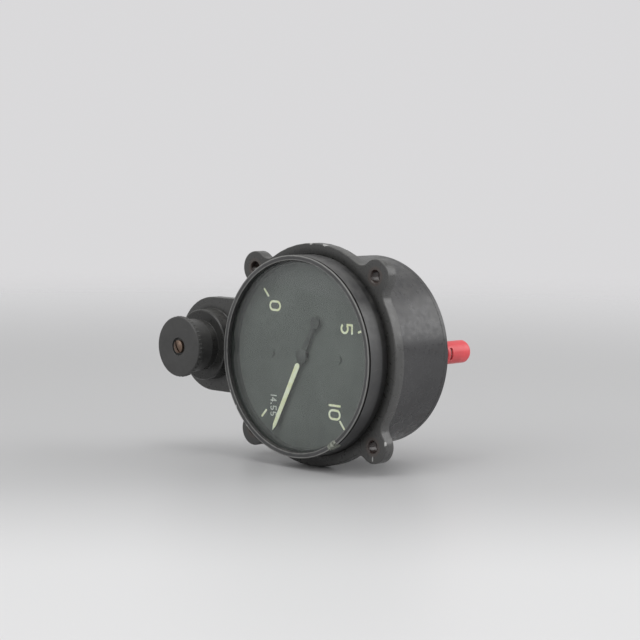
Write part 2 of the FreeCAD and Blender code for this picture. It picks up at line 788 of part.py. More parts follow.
def rear_cover():
    """Flat round cover with a rounded edge."""
    cover = rod(CASE_RADIUS, COVER_FRONT, COVER_BACK)
    rim = [edge for edge in cover.Edges if abs(edge.CenterOfMass.y - COVER_BACK) < 0.01]
    cover = cover.makeFillet(COVER_ROUND, rim)
    for shape in cover_screw_shanks():
        cover = cover.cut(shape)
    return cover.cut(rod(SHELL_THREAD_RADIUS, COVER_FRONT - PAST, COVER_BACK + PAST, CONNECTOR_X))


def cover_screws():
    screws = []
    for angle, shank in zip(COVER_SCREW_ANGLES, cover_screw_shanks()):
        x, z = around(COVER_SCREW_RING, angle)
        head = slotted_head(COVER_SCREW_HEAD, COVER_BACK, COVER_BACK + 1.5, x, z, angle + 20)
        screws.append(joined([head, shank]))
    return group(screws)


def connector_shell():
    """Threaded body, flange and smooth barrel."""
    profile = [(BARREL_BORE, SHELL_FRONT), (SHELL_THREAD_RADIUS, SHELL_FRONT)]
    profile += [(SHELL_THREAD_RADIUS, COVER_BACK), (SHELL_FLANGE_RADIUS, COVER_BACK)]
    profile += [(SHELL_FLANGE_RADIUS, SHELL_FLANGE_BACK - 0.4)]
    profile += [(SHELL_FLANGE_RADIUS - 0.4, SHELL_FLANGE_BACK), (SHELL_STEP_RADIUS, SHELL_FLANGE_BACK)]
    profile += [(SHELL_STEP_RADIUS, CAP_MOUTH - 2.0), (BARREL_RADIUS, CAP_MOUTH - 1.4)]
    profile += [(BARREL_RADIUS, BARREL_BACK - 0.4), (BARREL_RADIUS - 0.4, BARREL_BACK)]
    profile += [(BARREL_BORE, BARREL_BACK)]
    return turned(profile, CONNECTOR_X)


def connector_nut():
    """Hexagon nut behind the cover."""
    corner = NUT_FLATS / math.sqrt(3)
    corners = []
    for step in range(6):
        turn = math.radians(60 * step + 30)
        corners.append(point(CONNECTOR_X + corner * math.cos(turn), NUT_FRONT, corner * math.sin(turn)))
    hexagon = Part.Face(Part.makePolygon(corners + [corners[0]]))
    nut = hexagon.extrude(point(0, COVER_FRONT - NUT_FRONT, 0))
    nut = nut.common(rod(CASE_BORE - 0.4, NUT_FRONT - PAST, COVER_FRONT + PAST))
    return nut.cut(rod(SHELL_THREAD_RADIUS, NUT_FRONT - PAST, COVER_FRONT + PAST, CONNECTOR_X))


def connector_insert():
    return tube(BARREL_BORE, PIN_RADIUS, SHELL_FRONT + 1, INSERT_BACK, CONNECTOR_X)


def connector_pin():
    return rod(PIN_RADIUS, SHELL_FRONT - 2, BARREL_BACK - 1.5, CONNECTOR_X)


def dust_cap():
    """Moulded cap that pushes over the barrel, with a small vent slot near its mouth."""
    profile = [(CAP_BORE, CAP_MOUTH), (CAP_RADIUS, CAP_MOUTH), (CAP_RADIUS, CAP_BACK - 1.2)]
    profile += [(CAP_RADIUS - 0.45, CAP_BACK - 0.4), (CAP_RADIUS - 1.4, CAP_BACK), (0, CAP_BACK)]
    profile += [(0, BARREL_BACK + 1.2), (CAP_BORE, BARREL_BACK + 1.2)]
    cap = turned(profile, CONNECTOR_X)
    outer = CONNECTOR_X + CAP_RADIUS + PAST
    slot = block(CONNECTOR_X, outer, CAP_SLOT_FRONT, CAP_SLOT_BACK, -CAP_SLOT_REACH, CAP_SLOT_REACH)
    return cap.cut(slot)


# Knob, its spindle and the resistor it sets


def knob():
    """Knob with a notched head, a smooth skirt and a hollow back."""
    profile = [(KNOB_RECESS_RADIUS, KNOB_FRONT), (KNOB_HEAD_RADIUS - 0.6, KNOB_FRONT)]
    profile += [(KNOB_HEAD_RADIUS, KNOB_FRONT + 0.5), (KNOB_HEAD_RADIUS, KNOB_HEAD_BACK)]
    profile += [(KNOB_SKIRT_RADIUS, KNOB_HEAD_BACK + 0.5), (KNOB_SKIRT_RADIUS, KNOB_BACK)]
    profile += [(KNOB_HOLLOW_RADIUS, KNOB_BACK), (KNOB_HOLLOW_RADIUS, KNOB_HOLLOW_FRONT)]
    profile += [(KNOB_HUB_RADIUS, KNOB_HOLLOW_FRONT), (KNOB_HUB_RADIUS, KNOB_BACK)]
    profile.append((KNOB_SPINDLE_RADIUS, KNOB_BACK))
    profile += [(KNOB_SPINDLE_RADIUS, KNOB_SPINDLE_FRONT), (KNOB_SCREW_SHANK, KNOB_SPINDLE_FRONT)]
    profile += [(KNOB_SCREW_SHANK, KNOB_RECESS_BACK), (KNOB_RECESS_RADIUS, KNOB_RECESS_BACK)]
    body = turned(profile, POD_X)
    for step in range(NOTCHES):
        notch = knob_notch()
        notch.rotate(point(POD_X, 0, 0), AXIS, 360 * step / NOTCHES)
        body = body.cut(notch)
    return body


def knob_notch():
    """A V-shaped cutter for one notch in the head's rim."""
    floor = KNOB_HEAD_RADIUS - NOTCH_DEPTH
    outside = KNOB_HEAD_RADIUS + NOTCH_DEPTH
    front = KNOB_FRONT - PAST
    corners = [point(POD_X + floor, front, 0), point(POD_X + outside, front, 2 * NOTCH_HALF_WIDTH)]
    corners.append(point(POD_X + outside, front, -2 * NOTCH_HALF_WIDTH))
    face = Part.Face(Part.makePolygon(corners + [corners[0]]))
    return face.extrude(point(0, KNOB_HEAD_BACK + PAST - front, 0))


def knob_screw():
    """Brass screw with a domed, slotted head."""
    profile = [(0, KNOB_SCREW_FRONT), (KNOB_SCREW_HEAD * 0.5, KNOB_SCREW_FRONT + 0.12)]
    profile += [(KNOB_SCREW_HEAD * 0.85, KNOB_SCREW_FRONT + 0.5)]
    profile += [(KNOB_SCREW_HEAD, KNOB_SCREW_FRONT + 1.0), (KNOB_SCREW_HEAD, KNOB_RECESS_BACK)]
    profile += [(KNOB_SCREW_SHANK, KNOB_RECESS_BACK), (KNOB_SCREW_SHANK, KNOB_SCREW_BACK)]
    profile.append((0, KNOB_SCREW_BACK))
    screw = turned(profile, POD_X)
    half = KNOB_SCREW_HEAD + PAST
    slot = block(POD_X - half, POD_X + half, KNOB_SCREW_FRONT - PAST, KNOB_SCREW_FRONT + 0.9, -0.35, 0.35)
    slot.rotate(point(POD_X, 0, 0), AXIS, KNOB_SLOT_ANGLE)
    return screw.cut(slot)


def knob_spindle():
    spindle = rod(KNOB_SPINDLE_RADIUS, KNOB_SPINDLE_FRONT, KNOB_SPINDLE_BACK, POD_X)
    return spindle.cut(rod(KNOB_SCREW_SHANK, KNOB_SPINDLE_FRONT - PAST, KNOB_SCREW_BACK, POD_X))


def spindle_bush():
    """Brass bush in the nose, with a flange inside the pod."""
    bore = KNOB_SPINDLE_RADIUS + BUSH_CLEARANCE
    profile = [(bore, NOSE_FRONT), (BUSH_RADIUS, NOSE_FRONT), (BUSH_RADIUS, POD_CAVITY_FRONT)]
    profile += [(BUSH_FLANGE_RADIUS, POD_CAVITY_FRONT), (BUSH_FLANGE_RADIUS, BUSH_FLANGE_BACK)]
    profile += [(bore, BUSH_FLANGE_BACK)]
    return turned(profile, POD_X)


def spindle_clip():
    return tube(CLIP_RADIUS, KNOB_SPINDLE_RADIUS, CLIP_FRONT, CLIP_BACK, POD_X)


def wiper_arm():
    """Spring arm with a rounded contact over the winding."""
    ring = tube(CLIP_RADIUS + 0.1, KNOB_SPINDLE_RADIUS, WIPER_FRONT, WIPER_BACK, POD_X)
    arm = block(POD_X + CLIP_RADIUS - 0.3, POD_X + WIPER_REACH, WIPER_FRONT, WIPER_BACK, -1.0, 1.0)
    foot = rod(0.9, WIPER_BACK - 0.1, WINDING_FRONT - 0.05, POD_X + WIPER_REACH)
    toe = rod(1.0, WIPER_FRONT, WIPER_BACK, POD_X + WIPER_REACH)
    return joined([ring, arm, toe, foot])


def resistor_former():
    start = 180 + TRACK_GAP / 2
    return sector(TRACK_OUTER, TRACK_INNER, TRACK_FRONT, BASE_FRONT, start, 360 - TRACK_GAP, POD_X)


def resistor_winding():
    """Wire wound round the former."""
    bare = 4
    start = 180 + TRACK_GAP / 2 + bare
    sweep = 360 - TRACK_GAP - 2 * bare
    outer = TRACK_OUTER + WIRE_WRAP
    inner = TRACK_INNER - WIRE_WRAP
    wrap = sector(outer, inner, WINDING_FRONT, BASE_FRONT, start, sweep, POD_X)
    return wrap.cut(resistor_former())


def resistor_base():
    return rod(BASE_RADIUS, BASE_FRONT, POD_PLATE_FRONT, POD_X)


def stop_pin():
    """Pin in the gap of the winding that stops the wiper at both ends."""
    return rod(STOP_PIN_RADIUS, WIPER_FRONT - 0.2, BASE_FRONT, POD_X - WIPER_REACH)


def pod_back_plate():
    plate = rod(POD_PLATE_RADIUS, POD_PLATE_FRONT, FLANGE_THICKNESS, POD_X)
    for shape in pod_screw_shanks():
        plate = plate.cut(shape)
    return plate


def pod_screw_places():
    places = []
    for angle in POD_SCREW_ANGLES:
        x, z = around(POD_SCREW_RING, angle)
        places.append((POD_X + x, z))
    return places


def pod_screw_shanks():
    return [rod(POD_SCREW_SHANK, POD_SCREW_SHANK, FLANGE_THICKNESS, x, z) for x, z in pod_screw_places()]


def pod_back_screws():
    screws = []
    for (x, z), shank in zip(pod_screw_places(), pod_screw_shanks()):
        head = slotted_head(POD_SCREW_HEAD, FLANGE_THICKNESS, FLANGE_THICKNESS + 1.0, x, z, 40)
        screws.append(joined([head, shank]))
    return group(screws)


# Leads from the resistor to the receiver and from the receiver to the connector


def wire(places):
    """A round wire swept through several points, with mitred corners."""
    path = Part.makePolygon(places)
    run = places[1] - places[0]
    circle = Part.Wire(Part.makeCircle(LEAD_RADIUS, places[0], run))
    return path.makePipeShell([circle], True, False, 1)


def resistor_leads():
    """Two leads from the winding, through the flange and the plate's notch, to a coil."""
    start_x = POD_X + TRACK_OUTER + WIRE_WRAP
    coil_x = -CORE_OUTER - COIL_WRAP
    leads = []
    for side in (-1, 1):
        z = side * LEAD_SPREAD
        leads.append(wire([
            point(start_x, LEAD_DEPTH, z),
            point(LEAD_TURN_X, LEAD_DEPTH, z),
            point(LEAD_TURN_X, CORE_FRONT + 1, z),
            point(coil_x, CORE_FRONT + 1, z),
        ]))
    return group(leads)


def coil_leads():
    """Two leads from a winding to the back of the connector."""
    tag = (BARREL_BORE + SHELL_THREAD_RADIUS) / 2
    leads = []
    for side, angle in ((-1, 18), (1, 36)):
        x, z = around(CORE_MIDDLE, angle)
        leads.append(wire([
            point(x, CORE_BACK + COIL_WRAP, z),
            point(x, BRIDGE_FRONT - 1.4, z),
            point(CONNECTOR_X, SHELL_FRONT - 2.5, side * tag),
            point(CONNECTOR_X, SHELL_FRONT, side * tag),
        ]))
    return group(leads)


NODES = {
    "case_body": case_body,
    "bezel_ring": bezel_ring,
    "bezel_grub_screws": bezel_grub_screws,
    "inspection_seal": inspection_seal,
    "window_gasket": window_gasket,
    "window_glass": window_glass,
    "spacer_ring": spacer_ring,
    "retaining_ring": retaining_ring,
    "dial_plate": dial_plate,
    "dial_markings": dial_markings,
    "dial_small_number": dial_small_number,
    "dial_screws": dial_screws,
    "dial_posts": dial_posts,
    "pointer_blade": pointer_blade,
    "pointer_lume": pointer_lume,
    "pointer_hub": pointer_hub,
    "pointer_spindle": pointer_spindle,
    "pointer_stop_arm": pointer_stop_arm,
    "pointer_stop_post": pointer_stop_post,
    "magnet_rotor": magnet_rotor,
    "stator_core": stator_core,
    "stator_coils": stator_coils,
    "stator_posts": stator_posts,
    "movement_plate": movement_plate,
    "bridge_pillars": bridge_pillars,
    "rear_bridge": rear_bridge,
    "bridge_screws": bridge_screws,
    "front_jewel": front_jewel,
    "rear_jewel": rear_jewel,
    "cover_gasket": cover_gasket,
    "rear_cover": rear_cover,
    "cover_screws": cover_screws,
    "connector_shell": connector_shell,
    "connector_nut": connector_nut,
    "connector_insert": connector_insert,
    "connector_pin": connector_pin,
    "dust_cap": dust_cap,
    "knob": knob,
    "knob_screw": knob_screw,
    "knob_spindle": knob_spindle,
    "spindle_bush": spindle_bush,
    "spindle_clip": spindle_clip,
    "wiper_arm": wiper_arm,
    "resistor_former": resistor_former,
    "resistor_winding": resistor_winding,
    "resistor_base": resistor_base,
    "stop_pin": stop_pin,
    "pod_back_plate": pod_back_plate,
    "pod_back_screws": pod_back_screws,
    "resistor_leads": resistor_leads,
    "coil_leads": coil_leads,
}


os.makedirs("parts", exist_ok=True)
for name, make in NODES.items():
    shape = make()
    print(name, len(shape.Solids), round(shape.Volume, 2), shape.isValid())
    shape.exportStep("parts/" + name + ".step")
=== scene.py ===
# %% [markdown]
# # A round fuel quantity indicator
# This lesson dresses a small aircraft instrument. The CAD model already has every part at its
# real size, so each piece here is made in the same place, and only its look is better.
# Lengths are written in millimetres, as on a drawing, and turned into metres when a mesh is made.
# The dial faces -Y, +X is the top of the dial, and +Z is up.

# %% Load the frame
import math
import json
import random
import bpy
import bmesh
from mathutils import Matrix, Vector


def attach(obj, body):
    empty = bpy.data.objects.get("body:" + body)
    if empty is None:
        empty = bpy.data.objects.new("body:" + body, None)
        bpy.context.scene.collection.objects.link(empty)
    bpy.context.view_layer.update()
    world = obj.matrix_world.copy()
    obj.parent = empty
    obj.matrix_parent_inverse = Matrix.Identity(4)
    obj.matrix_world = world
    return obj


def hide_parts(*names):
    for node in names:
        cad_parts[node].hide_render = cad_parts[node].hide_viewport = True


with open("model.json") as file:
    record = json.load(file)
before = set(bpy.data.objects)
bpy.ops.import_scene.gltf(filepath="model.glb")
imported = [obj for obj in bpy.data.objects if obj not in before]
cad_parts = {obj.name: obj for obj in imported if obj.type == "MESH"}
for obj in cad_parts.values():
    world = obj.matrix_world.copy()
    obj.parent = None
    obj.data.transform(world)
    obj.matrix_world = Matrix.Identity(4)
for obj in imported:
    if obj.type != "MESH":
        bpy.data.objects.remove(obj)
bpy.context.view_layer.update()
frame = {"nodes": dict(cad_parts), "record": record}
MM = 0.001
print("CAD nodes:", len(frame["nodes"]))

# %% [markdown]
# ## Sizes
# The same named sizes as on the drawing of the part, so that each dressed piece lies exactly
# where its solid does. Depths run along Y and grow towards the back of the case.

# %% Sizes in millimetres
LUG_CIRCLE_RADIUS = 88.9 / 2
LUG_ANGLES = (45, 135, 225, 315)
LUG_OFFSET = LUG_CIRCLE_RADIUS / math.sqrt(2)
LUG_RADIUS = 6.4
LUG_HOLE = 2.2
LUG_CHAMFER = 0.4
FLANGE_RADIUS = 42.3
FLANGE_BACK = 4.8
FLANGE_ROUND = 0.4
LUG_BLEND = 4.5
POD_BLEND = 5.0
POD_X = -55.2
POD_RADIUS = 18.6
BOSS_RADIUS = 13.9
BOSS_FRONT = -6.2
NOSE_RADIUS = 9.9
NOSE_FRONT = -9.2
CASE_RADIUS = 36.6
CASE_BORE = 34.2
CASE_BACK = 33.8
BEZEL_RADIUS = 38.1
BEZEL_FRONT = -10.0
BEZEL_LIP = 36.25
BEZEL_BORE = 37.05
GROOVE_FRONT = -9.5
GROOVE_BACK = -8.8
GROOVE_FLOOR = 37.6
WINDOW_OPENING = 35.9
GASKET_FRONT = -8.8
SKIRT_BACK = 3.4
BEZEL_SEAT = 38.15
PLATE_SEAT = 35.95
PLATE_BACK = 5.4
CONNECTOR_X = 27.0
KNOB_FRONT = -18.3
KNOB_HEAD_BACK = -16.0
KNOB_BACK = -9.5


# %% [markdown]
# ## The camera
# The picture was taken from the dial's right and a little above. A camera with a long lens
# stands at the same angles, and turns a little so that the object sits where it does in the frame.

# %% Camera
PICTURE = 640
FOCAL_PIXELS = 2000.0
AZIMUTH = math.radians(44.17)
ELEVATION = math.radians(6.07)
ROLL = math.radians(0.70)
DISTANCE = 0.7552
ORIGIN_PIXEL = (312.3, 355.1)


def photo_camera():
    """A camera at the photograph's angles, with the origin at its own pixel."""
    level = Vector((-math.sin(AZIMUTH), math.cos(AZIMUTH), 0))
    forward = math.cos(ELEVATION) * level - math.sin(ELEVATION) * Vector((0, 0, 1))
    right = Vector((math.cos(AZIMUTH), math.sin(AZIMUTH), 0))
    up = right.cross(forward)
    turned_right = math.cos(ROLL) * right + math.sin(ROLL) * up
    turned_up = -math.sin(ROLL) * right + math.cos(ROLL) * up
    axes = Matrix((turned_right, turned_up, forward))
    middle = PICTURE / 2
    across = (ORIGIN_PIXEL[0] - middle) / FOCAL_PIXELS
    downward = (ORIGIN_PIXEL[1] - middle) / FOCAL_PIXELS
    aim = Vector((across, -downward, 1))
    turn = Vector((0, 0, 1)).rotation_difference(aim.normalized()).to_matrix()
    axes = turn @ axes
    place = Matrix((axes[0], axes[1], -axes[2])).transposed().to_4x4()
    place.translation = -DISTANCE * forward
    data = bpy.data.cameras.new("photo_camera")
    data.lens = FOCAL_PIXELS / PICTURE * data.sensor_width
    data.clip_start = 0.01
    camera = bpy.data.objects.new("photo_camera", data)
    bpy.context.scene.collection.objects.link(camera)
    camera.matrix_world = place
    return camera


scene = bpy.context.scene
scene.camera = photo_camera()
scene.view_settings.view_transform = "Standard"
print("camera at", [round(c, 4) for c in scene.camera.matrix_world.translation])


# %% [markdown]
# ## Node helpers
# Materials are easier to read when a node is one short call. `add` makes a node, sets the
# sockets that are plain values, and links the ones that are given another node's output.

# %% Helpers for shader nodes
def add(tree, kind, inputs=None, **settings):
    """One node with its settings, its values and its links."""
    node = tree.nodes.new(kind)
    for key, value in settings.items():
        setattr(node, key, value)
    for key, value in (inputs or {}).items():
        if isinstance(value, bpy.types.NodeSocket):
            tree.links.new(value, node.inputs[key])
        else:
            node.inputs[key].default_value = value
    return node


def maths(tree, operation, first, second=0.0, clamp=False):
    """A Math node's output."""
    return add(tree, "ShaderNodeMath", {0: first, 1: second}, operation=operation, use_clamp=clamp).outputs[0]


def product(tree, *values):
    """Several values multiplied together."""
    result = values[0]
    for value in values[1:]:
        result = maths(tree, "MULTIPLY", result, value)
    return result


def vector_maths(tree, operation, first, second=(0.0, 0.0, 0.0)):
    """A Vector Math node's output: a number for a length or a dot product, else a vector."""
    node = add(tree, "ShaderNodeVectorMath", {0: first, 1: second}, operation=operation)
    return node.outputs["Value" if operation in ("LENGTH", "DOT_PRODUCT") else "Vector"]


def spread(tree, value, low, high, out_low=0.0, out_high=1.0):
    """A value mapped smoothly from one range to another and held at its ends."""
    inputs = {"Value": value, "From Min": low, "From Max": high, "To Min": out_low, "To Max": out_high}
    return add(tree, "ShaderNodeMapRange", inputs, interpolation_type="SMOOTHSTEP").outputs[0]


def object_place(tree):
    """Where each point lies in the object's own frame, in metres."""
    return add(tree, "ShaderNodeTexCoord").outputs["Object"]


def noise_at(tree, place, scale, detail, **more):
    """A Noise Texture's value."""
    inputs = {"Vector": place, "Scale": scale, "Detail": detail, **more}
    return add(tree, "ShaderNodeTexNoise", inputs).outputs[0]


def axis_parts(tree, place):
    """The X, Y and Z of a place, each as an output of its own."""
    return add(tree, "ShaderNodeSeparateXYZ", {0: place}).outputs


def blend_colours(tree, factor, first, second):
    """A colour between two, by a mask."""
    return add(tree, "ShaderNodeMix", {"Factor": factor, 6: first, 7: second}, data_type="RGBA").outputs[2]


def shader_group(name, inputs, outputs):
    """An empty shader node group with named sockets, and its two end nodes."""
    group = bpy.data.node_groups.new(name, "ShaderNodeTree")
    for label, kind, default in inputs:
        socket = group.interface.new_socket(name=label, in_out="INPUT", socket_type=kind)
        socket.default_value = default
    for label, kind in outputs:
        group.interface.new_socket(name=label, in_out="OUTPUT", socket_type=kind)
    start = group.nodes.new("NodeGroupInput")
    end = group.nodes.new("NodeGroupOutput")
    return group, start.outputs, end.inputs


def use(tree, group, **inputs):
    """A group placed in a material, with its own values."""
    node = tree.nodes.new("ShaderNodeGroup")
    node.node_tree = group
    for label, value in inputs.items():
        socket = node.inputs[label.replace("_", " ")]
        if isinstance(value, bpy.types.NodeSocket):
            tree.links.new(value, socket)
        else:
            socket.default_value = value
    return node.outputs


FLOAT = "NodeSocketFloat"
VECTOR = "NodeSocketVector"


# %% [markdown]
# ## Shared effects
# Old painted instruments wear in the same ways: paint goes from the edges, fine scratches cross
# the flat faces, dust stays where no hand reaches, and chips show the bare metal. Each effect is
# a small group that puts out masks, and each material mixes them with its own colours.

# %% Edge wear
def make_edge_wear():
    """Where the surface turns sharply: a rounded normal is compared with the surface's own."""
    group, given, out = shader_group(
        "edge_wear",
        [("Width", FLOAT, 0.0004), ("Amount", FLOAT, 1.0), ("Breakup", FLOAT, 0.6), ("Scale", FLOAT, 900.0)],
        [("Mask", FLOAT)])
    rounded = add(group, "ShaderNodeBevel", {"Radius": given["Width"]}, samples=6).outputs[0]
    normal = add(group, "ShaderNodeNewGeometry").outputs["Normal"]
    same = vector_maths(group, "DOT_PRODUCT", rounded, normal)
    sharp = spread(group, maths(group, "SUBTRACT", 1.0, same), 0.01, 0.16)
    place = object_place(group)
    noise = noise_at(group, place, given["Scale"], 4.0)
    patchy = spread(group, noise, 0.38, 0.62)
    kept = maths(group, "SUBTRACT", 1.0, product(group, patchy, given["Breakup"]))
    mask = maths(group, "MULTIPLY", product(group, sharp, kept), given["Amount"], clamp=True)
    group.links.new(mask, out["Mask"])
    return group


EDGE_WEAR = make_edge_wear()


# %% [markdown]
# Brushed or sprayed paint is never one even tone. Three sizes of noise give slow patches for the
# colour, a middle size for the gloss and a fine stipple for the bump. One scale input makes the
# same group serve both large castings and small turned parts.

# %% Paint grain
def make_paint_grain():
    """Slow changes of tone, fine stipple for the bump, and a little change of gloss."""
    group, given, out = shader_group(
        "paint_grain",
        [("Scale", FLOAT, 1.0)],
        [("Tone", FLOAT), ("Height", FLOAT), ("Gloss", FLOAT)])
    place = object_place(group)
    slow = noise_at(group, place, product(group, given["Scale"], 70.0), 5.0, Roughness=0.6)
    fine = noise_at(group, place, product(group, given["Scale"], 2600.0), 2.0)
    middle = noise_at(group, place, product(group, given["Scale"], 420.0), 3.0)
    height = maths(group, "ADD", product(group, fine, 0.6), product(group, middle, 0.4))
    group.links.new(slow, out["Tone"])
    group.links.new(height, out["Height"])
    group.links.new(middle, out["Gloss"])
    return group


PAINT_GRAIN = make_paint_grain()


# %% [markdown]
# Years of handling leave hair-thin lines. Drawing them one by one would be slow, so the lines are
# where a stretched noise crosses its middle value, and a slower noise keeps them in patches.

# %% Scratches
SCRATCH_WAYS = (((0.4, 0.9, 0.2), (1.0, 0.08, 0.5)), ((1.3, 0.2, 0.8), (0.1, 1.0, 0.6)))


def make_scratches():
    """Thin lines along the bands of two stretched noises, broken up by a third."""
    group, given, out = shader_group(
        "fine_scratches",
        [("Scale", FLOAT, 260.0), ("Amount", FLOAT, 0.5), ("Seed", FLOAT, 0.0)],
        [("Mask", FLOAT)])
    place = object_place(group)
    mask = None
    for turn, stretch in SCRATCH_WAYS:
        shift = add(group, "ShaderNodeCombineXYZ", {0: given["Seed"], 1: given["Seed"]}).outputs[0]
        turned = {"Vector": place, "Location": shift, "Rotation": turn, "Scale": stretch}
        mapped = add(group, "ShaderNodeMapping", turned).outputs[0]
        noise = noise_at(group, mapped, given["Scale"], 2.0)
        line = maths(group, "ABSOLUTE", maths(group, "SUBTRACT", noise, 0.5))
        thin = spread(group, line, 0.0, 0.006, 1.0, 0.0)
        mask = thin if mask is None else maths(group, "MAXIMUM", mask, thin)
    where = noise_at(group, place, 150.0, 2.0)
    patches = spread(group, where, 0.52, 0.66)
    mask = maths(group, "MULTIPLY", product(group, mask, patches), given["Amount"], clamp=True)
    group.links.new(mask, out["Mask"])
    return group


SCRATCHES = make_scratches()


# %% [markdown]
# Dust settles on what faces up. The Z of the surface normal tells how far a place does, and a
# noise breaks the dust into blotches.

# %% Dust
def make_dust():
    """Thin dust on what faces up, thicker in blotches."""
    group, given, out = shader_group("dust", [("Amount", FLOAT, 0.3)], [("Mask", FLOAT)])
    normal = add(group, "ShaderNodeNewGeometry").outputs["Normal"]
    upward = axis_parts(group, normal)["Z"]
    place = object_place(group)
    noise = noise_at(group, place, 240.0, 6.0, Roughness=0.7)
    settled = product(group, spread(group, upward, -0.2, 1.0), spread(group, noise, 0.35, 0.7))
    group.links.new(maths(group, "MULTIPLY", settled, given["Amount"], clamp=True), out["Mask"])
    return group


DUST = make_dust()


# %% [markdown]
# A few chips are plain to see on the real one, each at its own place. A chip could be cut into the
# mesh, but a mask round a point is enough for something thinner than the paint.

# %% A chip or mark at one place
def make_mark():
    """A ragged spot round a point, for a chip or a smear that the real one has there."""
    group, given, out = shader_group(
        "mark_at_place",
        [("Centre", VECTOR, (0.0, 0.0, 0.0)), ("Size", VECTOR, (MM, MM, MM)), ("Ragged", FLOAT, 0.4)],
        [("Mask", FLOAT)])
    place = object_place(group)
    away = vector_maths(group, "SUBTRACT", place, given["Centre"])
    distance = vector_maths(group, "LENGTH", vector_maths(group, "DIVIDE", away, given["Size"]))
    noise = noise_at(group, place, 1500.0, 3.0)
    wobble = product(group, maths(group, "SUBTRACT", noise, 0.5), given["Ragged"], 3.0)
    group.links.new(spread(group, maths(group, "ADD", distance, wobble), 0.85, 1.1, 1.0, 0.0), out["Mask"])
    return group


MARK = make_mark()


# %% [markdown]
# Wear and painted crease shade on turned parts follow their edges and corners. Here the distance from the
# axis and the depth are given in millimetres, so stains and painted shade can be placed with the same sizes
# as the mesh.

# %% Distance from a turned part's own axis
def make_from_axis(name, folded):
    """How far a point lies from an axis along Y, and how deep, in millimetres, with a ragged edge.
    Folded takes the four corners as one, so that one centre serves all four lugs."""
    group, given, out = shader_group(
        name,
        [("Centre X", FLOAT, 0.0), ("Centre Z", FLOAT, 0.0), ("Ragged", FLOAT, 0.0), ("Scale", FLOAT, 700.0)],
        [("Radius", FLOAT), ("Depth", FLOAT)])
    place = object_place(group)
    parts = axis_parts(group, place)
    offsets = []
    for part, centre in ((parts["X"], given["Centre X"]), (parts["Z"], given["Centre Z"])):
        length = maths(group, "ABSOLUTE", part) if folded else part
        offsets.append(maths(group, "SUBTRACT", maths(group, "DIVIDE", length, MM), centre))
    flat = add(group, "ShaderNodeCombineXYZ", {0: offsets[0], 2: offsets[1]}).outputs[0]
    radius = vector_maths(group, "LENGTH", flat)
    noise = noise_at(group, place, given["Scale"], 4.0)
    wobble = product(group, maths(group, "SUBTRACT", noise, 0.5), given["Ragged"])
    group.links.new(maths(group, "ADD", radius, wobble), out["Radius"])
    group.links.new(maths(group, "ADD", maths(group, "DIVIDE", parts["Y"], MM), wobble), out["Depth"])
    return group


FROM_AXIS = make_from_axis("from_axis", False)
FROM_LUG = make_from_axis("from_nearest_lug", True)
EFFECTS = (EDGE_WEAR, PAINT_GRAIN, SCRATCHES, DUST, MARK, FROM_AXIS, FROM_LUG)
print("effects:", [group.name for group in EFFECTS])


# %% [markdown]
# ## Materials
# Every material starts from one Principled shader. A painted one mixes the paint, a paler rubbed
# tone at the edges, bare metal in the chips, and dust on top. The bump comes from the same masks,
# so a chip is also a little lower than the paint round it.

# %% Start a material
def new_material(name):
    """A material with a Principled shader that is ready to link."""
    material = bpy.data.materials.new(name)
    material.use_nodes = True
    tree = material.node_tree
    shader = tree.nodes["Principled BSDF"]
    return material, tree, shader


def link(tree, socket, value):
    """Links a node's output to a socket of the shader."""
    tree.links.new(value, socket)


def bump(tree, height, strength, distance):
    """A Bump node's normal."""
    inputs = {"Height": height, "Strength": strength, "Distance": distance}
    return add(tree, "ShaderNodeBump", inputs).outputs[0]


def shade(colour, factor):
    """A colour made lighter or darker, as RGBA."""
    return (colour[0] * factor, colour[1] * factor, colour[2] * factor, 1.0)


def metres(sizes):
    """Millimetres as metres."""
    return [size * MM for size in sizes]


DUST_COLOUR = (0.30, 0.29, 0.27, 1.0)


# %% [markdown]
# The case and the bezel have old black paint, satin where it was handled. The colours are mixed in
# the order in which they came: paint, rubbed edges, scratches, stains and painted shade, chips, and dust at
# the end.

# %% Painted metal
BARE_METAL = (0.42, 0.42, 0.41)


